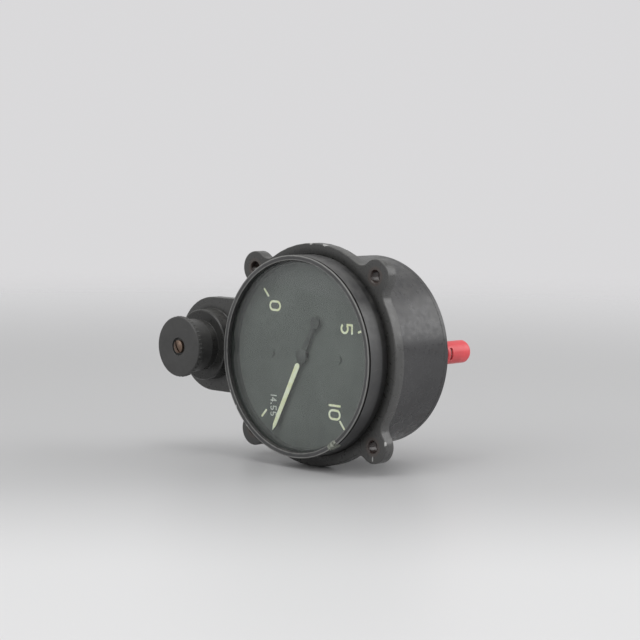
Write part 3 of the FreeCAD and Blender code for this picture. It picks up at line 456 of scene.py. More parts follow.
def painted(name, paint, rubbed, roughness, wear=1.0, width=0.0004, scratch=0.25, dust=0.15,
            marks=(), layers=(), grain=0.25):
    """Old satin paint. Marks is a list of (centre, size, ragged) in millimetres, and each of the
    layers is a function that gives the mask and the colour of a stained or worn place, or of painted shade or
    a painted reflection."""
    material, tree, shader = new_material(name)
    tone = use(tree, PAINT_GRAIN, Scale=1.0)
    edge = use(tree, EDGE_WEAR, Width=width, Amount=wear)["Mask"]
    lines = use(tree, SCRATCHES, Amount=scratch)["Mask"]
    settled = use(tree, DUST, Amount=dust)["Mask"]
    colour = blend_colours(tree, spread(tree, tone["Tone"], 0.3, 0.7), shade(paint, 0.86), shade(paint, 1.14))
    colour = blend_colours(tree, edge, colour, shade(rubbed, 1.0))
    colour = blend_colours(tree, lines, colour, shade(rubbed, 1.0))
    chipped = None
    for centre, size, ragged in marks:
        spot = use(tree, MARK, Centre=metres(centre), Size=metres(size), Ragged=ragged)["Mask"]
        chipped = spot if chipped is None else maths(tree, "MAXIMUM", chipped, spot)
    for layer in layers:
        mask, stain_or_painted_light = layer(tree)
        colour = blend_colours(tree, mask, colour, shade(stain_or_painted_light, 1.0))
    if chipped is not None:
        colour = blend_colours(tree, chipped, colour, shade(BARE_METAL, 1.0))
    colour = blend_colours(tree, settled, colour, DUST_COLOUR)
    link(tree, shader.inputs["Base Color"], colour)
    gloss = spread(tree, tone["Gloss"], 0.3, 0.7, roughness - 0.06, roughness + 0.08)
    gloss = maths(tree, "ADD", gloss, product(tree, settled, 0.5))
    link(tree, shader.inputs["Roughness"], gloss)
    height = maths(tree, "SUBTRACT", product(tree, tone["Height"], grain), lines)
    if chipped is not None:
        height = maths(tree, "SUBTRACT", height, product(tree, chipped, 2.0))
    link(tree, shader.inputs["Normal"], bump(tree, height, 0.35, 0.00006))
    return material


# %% [markdown]
# These are the places that the eye knows the object by: the worn rim of the bezel, painted shade in
# the creases round it, brown rings where screw heads turned, a painted reflection on the dial. Each is a
# short function that gives a mask and a colour, so that a material lists its stains and painted shade by
# name.

# %% Stains, worn places and painted shade
# The colour of painted shade in creases and grooves.
PAINTED_SHADE_COLOUR = (0.010, 0.010, 0.009)


def flange_painted_shade(tree):
    """Painted shade on the flange close round the bezel and round the knob's boss."""
    bezel = use(tree, FROM_AXIS, Ragged=0.7)
    boss = use(tree, FROM_AXIS, Centre_X=POD_X, Ragged=0.7)
    front = spread(tree, bezel["Depth"], 1.0, 2.2, 1.0, 0.0)
    near_bezel = spread(tree, bezel["Radius"], BEZEL_RADIUS + 0.6, BEZEL_RADIUS + 3.4, 0.85, 0.0)
    near_boss = spread(tree, boss["Radius"], BOSS_RADIUS + 0.3, BOSS_RADIUS + 2.0, 0.7, 0.0)
    return product(tree, maths(tree, "MAXIMUM", near_bezel, near_boss), front), PAINTED_SHADE_COLOUR


def flange_wear(tree):
    """The flange, its lugs and the pod are paler than the case behind them."""
    case = use(tree, FROM_AXIS, Ragged=0.3)
    return spread(tree, case["Depth"], FLANGE_BACK - 0.1, FLANGE_BACK + 0.1, 0.9, 0.0), (0.066, 0.066, 0.064)


def case_corner_painted_shade(tree):
    """Painted shade: a dark line where the round case meets the back of the flange."""
    case = use(tree, FROM_AXIS, Ragged=0.8)
    close = spread(tree, case["Radius"], CASE_RADIUS + 1.4, CASE_RADIUS + 2.4, 1.0, 0.0)
    behind = spread(tree, case["Depth"], FLANGE_BACK - 0.2, FLANGE_BACK, 0.0, 1.0)
    near = spread(tree, case["Depth"], FLANGE_BACK + 0.5, FLANGE_BACK + 2.2, 0.85, 0.0)
    return product(tree, close, behind, near), PAINTED_SHADE_COLOUR


def lug_worn_ring(tree):
    """Brown wear on each lug where a screw head has turned."""
    lug = use(tree, FROM_LUG, Centre_X=LUG_OFFSET, Centre_Z=LUG_OFFSET, Ragged=1.3, Scale=900.0)
    return spread(tree, lug["Radius"], 3.2, 4.0, 0.55, 0.0), (0.085, 0.066, 0.058)


def lug_hole_rust(tree):
    """Dark rust inside each lug's hole."""
    lug = use(tree, FROM_LUG, Centre_X=LUG_OFFSET, Centre_Z=LUG_OFFSET, Ragged=0.25)
    return spread(tree, lug["Radius"], LUG_HOLE + 0.1, LUG_HOLE + 0.4, 1.0, 0.0), (0.030, 0.016, 0.013)


def bezel_outer_line(tree):
    """Paint worn off the bezel's outer edge, with breaks."""
    ring = use(tree, FROM_AXIS, Ragged=0.5, Scale=320.0)
    outer = spread(tree, ring["Radius"], BEZEL_RADIUS - 0.55, BEZEL_RADIUS - 0.35)
    front = spread(tree, ring["Depth"], BEZEL_FRONT + 0.12, BEZEL_FRONT + 0.3, 1.0, 0.0)
    return product(tree, outer, front, 0.75), (0.26, 0.26, 0.25)


def bezel_inner_line(tree):
    """Paint worn off the bezel's inner edge."""
    ring = use(tree, FROM_AXIS, Ragged=0.45, Scale=420.0)
    inner = spread(tree, ring["Radius"], BEZEL_LIP + 0.2, BEZEL_LIP + 0.4, 1.0, 0.0)
    front = spread(tree, ring["Depth"], BEZEL_FRONT + 0.05, BEZEL_FRONT + 0.2, 1.0, 0.0)
    return product(tree, inner, front, 0.6), (0.24, 0.24, 0.23)


def bezel_inside(tree):
    """The lip's inner slope, down to the window, is dull black."""
    ring = use(tree, FROM_AXIS)
    inside = spread(tree, ring["Radius"], BEZEL_LIP + 0.02, BEZEL_LIP + 0.1, 1.0, 0.0)
    behind = spread(tree, ring["Depth"], BEZEL_FRONT + 0.1, BEZEL_FRONT + 0.2)
    return product(tree, inside, behind), (0.020, 0.020, 0.020)


def bezel_foot_painted_shade(tree):
    """Painted shade at the back of the bezel's wall, on the side of the case where the connector is."""
    ring = use(tree, FROM_AXIS, Ragged=0.4)
    place = object_place(tree)
    side = spread(tree, axis_parts(tree, place)["X"], 8 * MM, 26 * MM)
    back = spread(tree, ring["Depth"], -3.0, -2.2, 0.0, 0.85)
    return product(tree, side, back), (0.014, 0.014, 0.014)


def bezel_groove_painted_shade(tree):
    """Painted shade fills the narrow groove behind the rim."""
    ring = use(tree, FROM_AXIS)
    front = spread(tree, ring["Depth"], BEZEL_FRONT + 0.3, BEZEL_FRONT + 0.45)
    back = spread(tree, ring["Depth"], GROOVE_BACK + 0.02, GROOVE_BACK + 0.12, 1.0, 0.0)
    outside = spread(tree, ring["Radius"], GROOVE_FLOOR - 0.3, GROOVE_FLOOR - 0.2)
    return product(tree, outside, front, back), PAINTED_SHADE_COLOUR


def dial_painted_reflection(tree):
    """Painted reflection: the upper part of the dial is a little paler, above a soft slanting line."""
    place = object_place(tree)
    parts = axis_parts(tree, place)
    height = maths(tree, "ADD", parts["Z"], product(tree, parts["X"], 0.158))
    return spread(tree, height, 23.6 * MM, 25.6 * MM, 0.0, 0.35), (0.155, 0.155, 0.155)


# %% [markdown]
# Screws, the connector and the works inside are bare metal. The shader is fully metallic, and the
# age is in the colour: a darker tarnish in slow patches, with fine lines in the bump.

# %% Bare metal
def bare_metal(name, colour, roughness, tarnish, grime=0.35):
    """Machined metal with fine turning grain and darker tarnish in patches."""
    material, tree, shader = new_material(name)
    tone = use(tree, PAINT_GRAIN, Scale=1.6)
    lines = use(tree, SCRATCHES, Amount=0.5, Scale=420.0)["Mask"]
    patches = product(tree, spread(tree, tone["Tone"], 0.4, 0.65), grime)
    colour = blend_colours(tree, patches, shade(colour, 1.0), shade(tarnish, 1.0))
    link(tree, shader.inputs["Base Color"], colour)
    shader.inputs["Metallic"].default_value = 1.0
    gloss = spread(tree, tone["Gloss"], 0.3, 0.7, roughness - 0.08, roughness + 0.12)
    link(tree, shader.inputs["Roughness"], gloss)
    height = maths(tree, "SUBTRACT", product(tree, tone["Height"], 0.4), lines)
    link(tree, shader.inputs["Normal"], bump(tree, height, 0.3, 0.00004))
    return material


# %% [markdown]
# The knob, the red cap and the gaskets are moulded. They take a soft stipple from the mould, and
# their edges are rubbed paler, but never down to metal.

# %% Moulded plastic and rubber
def moulded(name, colour, roughness, rubbed=None, wear=0.4, dust=0.1, stipple=0.4, scratch=0.2):
    """Moulded material with soft stipple, rubbed edges and a little dust."""
    material, tree, shader = new_material(name)
    rubbed = rubbed or tuple(c * 1.6 + 0.02 for c in colour)
    tone = use(tree, PAINT_GRAIN, Scale=1.2)
    edge = use(tree, EDGE_WEAR, Amount=wear)["Mask"]
    lines = use(tree, SCRATCHES, Amount=scratch)["Mask"]
    settled = use(tree, DUST, Amount=dust)["Mask"]
    mixed = blend_colours(tree, spread(tree, tone["Tone"], 0.3, 0.7), shade(colour, 0.88), shade(colour, 1.1))
    mixed = blend_colours(tree, maths(tree, "MAXIMUM", edge, lines), mixed, shade(rubbed, 1.0))
    link(tree, shader.inputs["Base Color"], blend_colours(tree, settled, mixed, DUST_COLOUR))
    gloss = spread(tree, tone["Gloss"], 0.3, 0.7, roughness - 0.06, roughness + 0.08)
    link(tree, shader.inputs["Roughness"], gloss)
    height = maths(tree, "SUBTRACT", product(tree, tone["Height"], stipple), lines)
    link(tree, shader.inputs["Normal"], bump(tree, height, 0.3, 0.00005))
    return material


# %% [markdown]
# The ticks, the numerals and the pointer's bar are thick matt paint that has yellowed. They are
# solids of their own, so the material only needs uneven colour and a grainy top.

# %% Luminous and printed paint
def dial_print(name, colour, aged, roughness):
    """Thick matt paint laid on the dial: slightly uneven, yellowed in places, with a grainy top."""
    material, tree, shader = new_material(name)
    place = object_place(tree)
    slow = noise_at(tree, place, 380.0, 4.0)
    fine = noise_at(tree, place, 3800.0, 3.0)
    mixed = blend_colours(tree, spread(tree, slow, 0.35, 0.65), shade(colour, 1.0), shade(aged, 1.0))
    link(tree, shader.inputs["Base Color"], mixed)
    link(tree, shader.inputs["Roughness"], spread(tree, fine, 0.3, 0.7, roughness - 0.05, roughness + 0.1))
    link(tree, shader.inputs["Normal"], bump(tree, fine, 0.4, 0.00004))
    return material


# %% [markdown]
# The coils hold thousands of turns, which would be far too many to model for a part that nobody
# sees. Stripes by the angle about the ring's own axis give the look of wire at no cost.

# %% Wound wire
def winding(name, colour, dark, turns, axis_x):
    """Turns of enamelled wire round a ring: stripes by the angle about the ring's own centre."""
    material, tree, shader = new_material(name)
    place = object_place(tree)
    parts = axis_parts(tree, place)
    angle = maths(tree, "ARCTAN2", parts["Z"], maths(tree, "SUBTRACT", parts["X"], axis_x * MM))
    wave = maths(tree, "ABSOLUTE", maths(tree, "SINE", product(tree, angle, turns / 2)))
    noise = noise_at(tree, place, 300.0, 3.0)
    tone = maths(tree, "ADD", product(tree, wave, 0.7), product(tree, noise, 0.3))
    link(tree, shader.inputs["Base Color"], blend_colours(tree, tone, shade(dark, 1.0), shade(colour, 1.0)))
    link(tree, shader.inputs["Roughness"], spread(tree, noise, 0.3, 0.7, 0.25, 0.42))
    shader.inputs["Metallic"].default_value = 0.7
    link(tree, shader.inputs["Normal"], bump(tree, wave, 0.6, 0.0001))
    return material


# %% [markdown]
# The window is clear glass. Full transmission bends what is seen through it, but a solid that bends
# light also stops the lamps, so for shadow and diffuse rays it is swapped for a plain clear shader.

# %% Window glass
def window_material():
    """Clear glass that lets the light through to the dial, with faint wipe marks on it.
    Shadow rays pass straight through, so the dial behind is lit as it is in life."""
    material, tree, shader = new_material("window_glass")
    place = object_place(tree)
    shader.inputs["Transmission Weight"].default_value = 1.0
    shader.inputs["IOR"].default_value = 1.5
    smear = noise_at(tree, place, 45.0, 5.0, Distortion=1.2)
    shader.inputs["Base Color"].default_value = (0.93, 0.96, 0.94, 1.0)
    link(tree, shader.inputs["Roughness"], spread(tree, smear, 0.45, 0.75, 0.0, 0.06))
    clear = add(tree, "ShaderNodeBsdfTransparent", {"Color": (0.9, 0.93, 0.92, 1.0)}).outputs[0]
    path = add(tree, "ShaderNodeLightPath").outputs
    through = maths(tree, "MAXIMUM", path["Is Shadow Ray"], path["Is Diffuse Ray"])
    mixed = add(tree, "ShaderNodeMixShader", {0: through, 1: shader.outputs[0], 2: clear}).outputs[0]
    tree.links.new(mixed, tree.nodes["Material Output"].inputs["Surface"])
    return material


# %% [markdown]
# The seal is dried varnish, thin enough to see the bezel through it in places. One noise drives its
# colour, how clear it is and its wrinkles, so that thick places are also the palest ones.

# %% Sealing compound
SEAL_DARK = (0.13, 0.14, 0.115, 1.0)
SEAL_PALE = (0.30, 0.32, 0.27, 1.0)


def compound_material():
    """A dab of old sealing varnish: part clear, greenish grey, with a wrinkled skin."""
    material, tree, shader = new_material("sealing_compound")
    place = object_place(tree)
    noise = noise_at(tree, place, 900.0, 4.0)
    mixed = blend_colours(tree, spread(tree, noise, 0.3, 0.7), SEAL_DARK, SEAL_PALE)
    link(tree, shader.inputs["Base Color"], mixed)
    link(tree, shader.inputs["Alpha"], spread(tree, noise, 0.25, 0.6, 0.45, 0.9))
    shader.inputs["Roughness"].default_value = 0.4
    link(tree, shader.inputs["Normal"], bump(tree, noise, 0.5, 0.0001))
    return material


# %% [markdown]
# All the finishes are made here, one for each material slot of the record. The marks on the case
# and on the rim are listed, because each is a real chip at a real place.

# %% The set of materials
# Each mark is a place, a size and how ragged it is, in millimetres.
CHIPS = [
    ((5.9, 0.3, 42.0), (1.3, 0.9, 0.7), 0.5),
    ((-1.5, 0.2, 42.2), (0.8, 0.8, 0.6), 0.5),
    ((31.6, 0.1, -35.9), (0.30, 0.5, 1.0), 0.2),
    ((37.5, 0.3, -29.6), (0.35, 0.6, 0.9), 0.4),
]
RIM_NICKS = [
    ((-31.0, -9.9, -22.0), (0.5, 0.8, 0.9), 0.5),
    ((-34.5, -9.9, -16.0), (0.6, 0.7, 0.5), 0.5),
    ((-25.0, -9.9, -28.7), (0.5, 0.5, 0.5), 0.5),
]
CASE_LAYERS = (flange_wear, flange_painted_shade, case_corner_painted_shade, lug_worn_ring, lug_hole_rust)
BEZEL_LAYERS = (bezel_inside, bezel_inner_line, bezel_outer_line, bezel_groove_painted_shade, bezel_foot_painted_shade)
MATERIALS = {
    "case_paint": painted("case_paint", (0.031, 0.031, 0.033), (0.16, 0.16, 0.16), 0.30, wear=0.5,
                          scratch=0.12, grain=0.1, marks=CHIPS, layers=CASE_LAYERS),
    "bezel_paint": painted("bezel_paint", (0.060, 0.060, 0.061), (0.20, 0.20, 0.19), 0.42, wear=0.3,
                           width=0.0003, marks=RIM_NICKS, layers=BEZEL_LAYERS),
    "knob_plastic": moulded("knob_plastic", (0.050, 0.050, 0.049), 0.45, rubbed=(0.14, 0.14, 0.14), wear=0.8),
    "dark_steel": bare_metal("dark_steel", (0.10, 0.10, 0.10), 0.4, (0.03, 0.025, 0.02)),
    "bright_steel": bare_metal("bright_steel", (0.56, 0.56, 0.57), 0.28, (0.25, 0.22, 0.20)),
    "sealing_compound": compound_material(),
    "black_rubber": moulded("black_rubber", (0.018, 0.018, 0.018), 0.7),
    "window_glass": window_material(),
    "black_paint": painted("black_paint", (0.060, 0.063, 0.060), (0.10, 0.10, 0.10), 0.6, wear=0.3,
                           dust=0.05),
    # The dial's paler upper part is a painted reflection.
    "dial_paint": painted("dial_paint", (0.110, 0.118, 0.110), (0.15, 0.15, 0.15), 0.7, wear=0.0,
                          scratch=0.05, dust=0.02, grain=0.05, layers=(dial_painted_reflection,)),
    "luminous_paint": dial_print("luminous_paint", (0.98, 0.97, 0.78), (0.92, 0.90, 0.58), 0.7),
    "white_paint": dial_print("white_paint", (0.72, 0.72, 0.68), (0.60, 0.60, 0.56), 0.7),
    "brass": bare_metal("brass", (0.22, 0.16, 0.125), 0.40, (0.08, 0.055, 0.045)),
    "soft_iron": bare_metal("soft_iron", (0.35, 0.35, 0.35), 0.5, (0.16, 0.12, 0.10)),
    "copper_winding": winding("copper_winding", (0.52, 0.20, 0.08), (0.12, 0.03, 0.01), 360.0, 0.0),
    "aluminium": bare_metal("aluminium", (0.66, 0.66, 0.66), 0.36, (0.42, 0.42, 0.42)),
    "insulator": moulded("insulator", (0.11, 0.055, 0.028), 0.4),
    "resistance_wire": winding("resistance_wire", (0.50, 0.46, 0.38), (0.14, 0.12, 0.09), 300.0, POD_X),
    "lead_sleeve": moulded("lead_sleeve", (0.30, 0.035, 0.03), 0.4),
    "magnet_steel": bare_metal("magnet_steel", (0.40, 0.40, 0.42), 0.35, (0.2, 0.2, 0.2)),
    "red_plastic": moulded("red_plastic", (0.76, 0.075, 0.088), 0.36, rubbed=(0.85, 0.25, 0.25), wear=0.35,
                           dust=0.03, scratch=0.1, stipple=0.3),
}
print("materials:", len(MATERIALS))


# %% [markdown]
# ## Dress the CAD nodes
# Every node of the model gets the material of its slot. Their meshes are loose triangles, so a
# small geometry node tree welds them and shades them smooth, but keeps every real corner sharp.

# %% Smooth shading for CAD nodes
GEOMETRY = "NodeSocketGeometry"
SHARP_ANGLE = math.radians(32)
WELD_DISTANCE = 0.000004


def make_smoothing():
    """Weld, then shade smooth except where two faces meet at more than the given angle."""
    tree = bpy.data.node_groups.new("weld_and_smooth", "GeometryNodeTree")
    tree.interface.new_socket(name="Geometry", in_out="INPUT", socket_type=GEOMETRY)
    weld = tree.interface.new_socket(name="Weld distance", in_out="INPUT", socket_type=FLOAT)
    weld.default_value = WELD_DISTANCE
    angle = tree.interface.new_socket(name="Sharp angle", in_out="INPUT", socket_type=FLOAT)
    angle.default_value = SHARP_ANGLE
    tree.interface.new_socket(name="Geometry", in_out="OUTPUT", socket_type=GEOMETRY)
    start = tree.nodes.new("NodeGroupInput").outputs
    loose = {"Geometry": start["Geometry"], "Distance": start["Weld distance"]}
    welded = {"Geometry": add(tree, "GeometryNodeMergeByDistance", loose).outputs[0], "Shade Smooth": True}
    smooth = add(tree, "GeometryNodeSetShadeSmooth", welded, domain="FACE").outputs[0]
    edge = add(tree, "GeometryNodeInputMeshEdgeAngle").outputs["Unsigned Angle"]
    flat = add(tree, "FunctionNodeCompare", {0: edge, 1: start["Sharp angle"]}, operation="LESS_THAN",
               data_type="FLOAT").outputs[0]
    kept = {"Geometry": smooth, "Shade Smooth": flat}
    edges = add(tree, "GeometryNodeSetShadeSmooth", kept, domain="EDGE").outputs[0]
    end = tree.nodes.new("NodeGroupOutput")
    tree.links.new(edges, end.inputs[0])
    return tree


SMOOTHING = make_smoothing()
SLOT_OF = {part["node"]: part["material_slot"] for part in frame["record"]["subparts"]}
PAINTED_OVER = {"dial_screws": "dial_paint"}
for node_name, node in frame["nodes"].items():
    material = MATERIALS[PAINTED_OVER.get(node_name, SLOT_OF[node_name])]
    node.data.materials.clear()
    node.data.materials.append(material)
    modifier = node.modifiers.new("weld_and_smooth", "NODES")
    modifier.node_group = SMOOTHING
print("dressed", len(frame["nodes"]), "nodes")


# %% [markdown]
# ## Mesh helpers
# Almost every piece is turned on a lathe, so most meshes are rings of points joined by quads. A
# ring is a list of points, `skin` joins two rings, and `face_with_holes` fills a flat face.

# %% Rings and skins
def ring_points(radius, depth, count, x=0.0, z=0.0):
    """Points round a circle across the Y axis, in millimetres."""
    points = []
    for step in range(count):
        turn = math.tau * step / count
        points.append((x + radius * math.cos(turn), depth, z + radius * math.sin(turn)))
    return points


def add_ring(bm, points):
    """The ring's vertices, in metres."""
    return [bm.verts.new((p[0] * MM, p[1] * MM, p[2] * MM)) for p in points]


def skin(bm, first, second):
    """Quads between two closed rings of equal count."""
    count = len(first)
    for step in range(count):
        after = (step + 1) % count
        bm.faces.new((first[step], first[after], second[after], second[step]))


def chain(bm, rings):
    """Rings joined one after another."""
    for first, second in zip(rings, rings[1:]):
        skin(bm, first, second)


def face_with_holes(bm, loops):
    """A flat face between an outer ring and the rings of its holes."""
    edges = []
    for ring in loops:
        for step in range(len(ring)):
            pair = (ring[step], ring[(step + 1) % len(ring)])
            edges.append(bm.edges.get(pair) or bm.edges.new(pair))
    bmesh.ops.triangle_fill(bm, use_beauty=True, use_dissolve=False, edges=edges)


def rounded(corners, steps=4):
    """(radius, depth, rounding) corners as points, with an arc at each that has a rounding."""
    points = []
    for index, (r, y, rounding) in enumerate(corners):
        here = Vector((r, y))
        if rounding <= 0:
            points.append((r, y))
            continue
        before = (Vector(corners[index - 1][:2]) - here).normalized()
        after = (Vector(corners[(index + 1) % len(corners)][:2]) - here).normalized()
        half = before.angle(after) / 2
        centre = here + (before + after).normalized() * (rounding / math.sin(half))
        start = here + before * (rounding / math.tan(half)) - centre
        end = here + after * (rounding / math.tan(half)) - centre
        for step in range(steps + 1):
            share = step / steps
            spoke = start.slerp(end, share).normalized() * rounding
            points.append(tuple(centre + spoke))
    return points


def lathe(bm, profile, count, x=0.0, z=0.0, closed=True):
    """A turned shape. A closed profile is a ring-shaped piece; an open one starts and ends on the axis."""
    rings = []
    for radius, depth in profile:
        if radius < 0.0001:
            rings.append(bm.verts.new((x * MM, depth * MM, z * MM)))
        else:
            rings.append(add_ring(bm, ring_points(radius, depth, count, x, z)))
    pairs = list(zip(rings, rings[1:]))
    if closed:
        pairs.append((rings[-1], rings[0]))
    for first, second in pairs:
        if isinstance(first, list) and isinstance(second, list):
            skin(bm, first, second)
        elif isinstance(first, list) or isinstance(second, list):
            ring, tip = (first, second) if isinstance(first, list) else (second, first)
            for step in range(count):
                bm.faces.new((ring[step], ring[(step + 1) % count], tip))


# %% [markdown]
# A mesh made from rings has seams, and its faces may point inwards. Every piece goes through the
# same last steps, and counting the faces at each edge shows at once if one was left open.

# %% Finish a piece
def finish_mesh(bm, name, sharp=SHARP_ANGLE):
    """Closes the seams, points the faces outwards, marks the real corners and makes the object."""
    bmesh.ops.remove_doubles(bm, verts=bm.verts, dist=0.000001)
    bmesh.ops.recalc_face_normals(bm, faces=bm.faces)
    for edge in bm.edges:
        edge.smooth = len(edge.link_faces) == 2 and edge.calc_face_angle() < sharp
    for face in bm.faces:
        face.smooth = True
    mesh = bpy.data.meshes.new(name)
    bm.to_mesh(mesh)
    bm.free()
    made = bpy.data.objects.new(name, mesh)
    scene.collection.objects.link(made)
    return made


def edge_uses(mesh):
    """How many faces use each edge: two everywhere on a closed piece."""
    uses = {}
    for face in mesh.polygons:
        for key in face.edge_keys:
            uses[key] = uses.get(key, 0) + 1
    return uses


def settle(made, body, slot, nodes=()):
    """Gives a finished piece its finish and its body, and hides the CAD nodes it stands for."""
    made.data.materials.clear()
    made.data.materials.append(MATERIALS[slot])
    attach(made, body)
    if nodes:
        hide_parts(*nodes)
    open_edges = sum(1 for count in edge_uses(made.data).values() if count != 2)
    print(made.name, "faces", len(made.data.polygons), "open edges", open_edges)


# %% [markdown]
# Slots and small cross holes are easiest as Booleans. The modifier is applied straight away, so that
# the piece is a plain mesh again before it gets its material and its body.

# %% Blocks and cuts
def box_mesh(bm, low, high):
    """A box between two corners, in millimetres."""
    made = bmesh.ops.create_cube(bm, size=1.0)
    for vert in made["verts"]:
        for axis in range(3):
            middle = (low[axis] + high[axis]) / 2
            vert.co[axis] = (middle + vert.co[axis] * (high[axis] - low[axis])) * MM


def cut_away(target, cutter):
    """The target with the cutter's shape taken out, as a plain mesh."""
    modifier = target.modifiers.new("cut", "BOOLEAN")
    modifier.operation = "DIFFERENCE"
    modifier.solver = "EXACT"
    modifier.object = cutter
    scene.view_layers[0].update()
    graph = bpy.context.evaluated_depsgraph_get()
    mesh = bpy.data.meshes.new_from_object(target.evaluated_get(graph))
    target.modifiers.remove(modifier)
    old = target.data
    target.data = mesh
    mesh.name = old.name
    bpy.data.objects.remove(cutter)
    bm = bmesh.new()
    bm.from_mesh(mesh)
    bmesh.ops.dissolve_degenerate(bm, edges=bm.edges, dist=0.000002)
    for edge in bm.edges:
        edge.smooth = len(edge.link_faces) == 2 and edge.calc_face_angle() < SHARP_ANGLE
    bm.to_mesh(mesh)
    bm.free()
    return target


# %% [markdown]
# ## The case
# The case is one casting: a round body, a flange with four screw lugs, and a side pod with a
# raised boss for the knob. The flange's outline is arcs only, so it is worked out from circles:
# big circle, small lug circles, and hollow blends that touch both. Moving every arc inwards by
# the same amount gives the rings that round its edge over.

# %% Outline of the flange
def arc(centre, radius, start, sweep, steps):
    """Points along an arc, in degrees, without its last point."""
    points = []
    for step in range(steps):
        turn = math.radians(start + sweep * step / steps)
        points.append((centre[0] + radius * math.cos(turn), centre[1] + radius * math.sin(turn)))
    return points


def direction(start, end):
    """The angle from one point to another, in degrees."""
    return math.degrees(math.atan2(end[1] - start[1], end[0] - start[0]))


def polar(radius, degrees):
    """A point on a circle about the dial's axis."""
    turn = math.radians(degrees)
    return (radius * math.cos(turn), radius * math.sin(turn))


def between(start, end):
    """The turn from one angle to another, the short way, in degrees."""
    return (end - start + 180) % 360 - 180


def lug_blend_turn():
    """The angle from a lug's centre line to where its blend leaves the flange."""
    reach = FLANGE_RADIUS + LUG_BLEND
    near = LUG_RADIUS + LUG_BLEND
    cosine = (reach ** 2 + LUG_CIRCLE_RADIUS ** 2 - near ** 2) / (2 * reach * LUG_CIRCLE_RADIUS)
    return math.degrees(math.acos(cosine))


def blend_arc(blend_centre, first, second, radius, steps):
    """A hollow arc from the point nearest to one circle's centre to the point nearest to another's."""
    start = direction(blend_centre, first)
    end = direction(blend_centre, second)
    return arc(blend_centre, radius, start, between(start, end), steps)


def pod_blend_centre(side):
    """Centre of the hollow between the pod's straight wall and the flange."""
    z = POD_RADIUS + POD_BLEND
    x = -math.sqrt((FLANGE_RADIUS + POD_BLEND) ** 2 - z ** 2)
    return (x, side * z)


def flange_outline(inset):
    """The flange's outline, anticlockwise from +X, moved inwards by the inset."""
    points = []
    turn = lug_blend_turn()
    angle = 0.0
    for lug_angle in LUG_ANGLES:
        lug = polar(LUG_CIRCLE_RADIUS, lug_angle)
        if lug_angle == 225:
            points += pod_outline(inset)
            angle = 180 + 180 - pod_turn()
        points += arc((0, 0), FLANGE_RADIUS - inset, angle, lug_angle - turn - angle, 10)
        before = polar(FLANGE_RADIUS + LUG_BLEND, lug_angle - turn)
        after = polar(FLANGE_RADIUS + LUG_BLEND, lug_angle + turn)
        points += blend_arc(before, (0, 0), lug, LUG_BLEND + inset, 8)
        start = direction(lug, before)
        end = direction(lug, after)
        points += arc(lug, LUG_RADIUS - inset, start, (end - start) % 360, 24)
        points += blend_arc(after, lug, (0, 0), LUG_BLEND + inset, 8)
        angle = lug_angle + turn
        if lug_angle == 135:
            points += arc((0, 0), FLANGE_RADIUS - inset, angle, pod_turn() - angle, 4)
    points += arc((0, 0), FLANGE_RADIUS - inset, angle, 360 - angle, 10)
    return points


def pod_turn():
    """The angle at which the pod's upper blend meets the flange."""
    return direction((0, 0), pod_blend_centre(1))


def pod_outline(inset):
    """The pod's part of the outline: blend, straight wall, round end, wall, blend."""
    upper = pod_blend_centre(1)
    lower = pod_blend_centre(-1)
    centre = (POD_X, 0)
    points = blend_arc(upper, (0, 0), (upper[0], 0), POD_BLEND + inset, 8)
    points += [(upper[0], POD_RADIUS - inset), ((upper[0] + POD_X) / 2, POD_RADIUS - inset)]
    points += arc(centre, POD_RADIUS - inset, 90, 180, 40)
    points += [(POD_X, -POD_RADIUS + inset), ((lower[0] + POD_X) / 2, -POD_RADIUS + inset)]
    points += blend_arc(lower, (lower[0], 0), (0, 0), POD_BLEND + inset, 8)
    return points


def outline_ring(bm, inset, depth):
    """The flange's outline as a ring of vertices."""
    return add_ring(bm, [(x, depth, z) for x, z in flange_outline(inset)])


print("outline points:", len(flange_outline(0)))

# %% [markdown]
# The case could be one solid cut by many Booleans, but rings keep the edges clean: the side is the
# outline moved inwards step by step, each bore is a chain of circles, and two flat faces with holes
# close the front and the back. Only the two cross holes are cut.

# %% The case's mesh
BIG = 144
MEDIUM = 72
SMALL = 32
BACK_ROUND = 0.4
CASE_FOOT = 0.6
PAINT_RIM = 0.3
SEAT_CHAMFER = 0.2
BUSH_RADIUS = 4.0
POD_CAVITY = 12.3
POD_CAVITY_FRONT = -4.7
POD_PLATE_SEAT = 15.65
POD_PLATE_FRONT = 3.2
BOSS_FOOT = 0.5
GRUB_ANGLES = (90, 270)
GRUB_RADIUS = 1.2
GRUB_DEPTH = 2.1
GRUB_REACH = (37.0, 44.0)


def grub_hole(angle):
    """A cutter for the hole of a screw that enters the flange's edge and holds the bezel."""
    bm = bmesh.new()
    inner, outer = GRUB_REACH
    lathe(bm, [(0, inner), (GRUB_RADIUS, inner), (GRUB_RADIUS, outer), (0, outer)], SMALL, closed=False)
    hole = finish_mesh(bm, "grub_hole")
    outward = Vector((math.cos(math.radians(angle)), 0, math.sin(math.radians(angle))))
    hole.data.transform(Vector((0, 1, 0)).rotation_difference(outward).to_matrix().to_4x4())
    hole.data.transform(Matrix.Translation((0, GRUB_DEPTH * MM, 0)))
    return hole


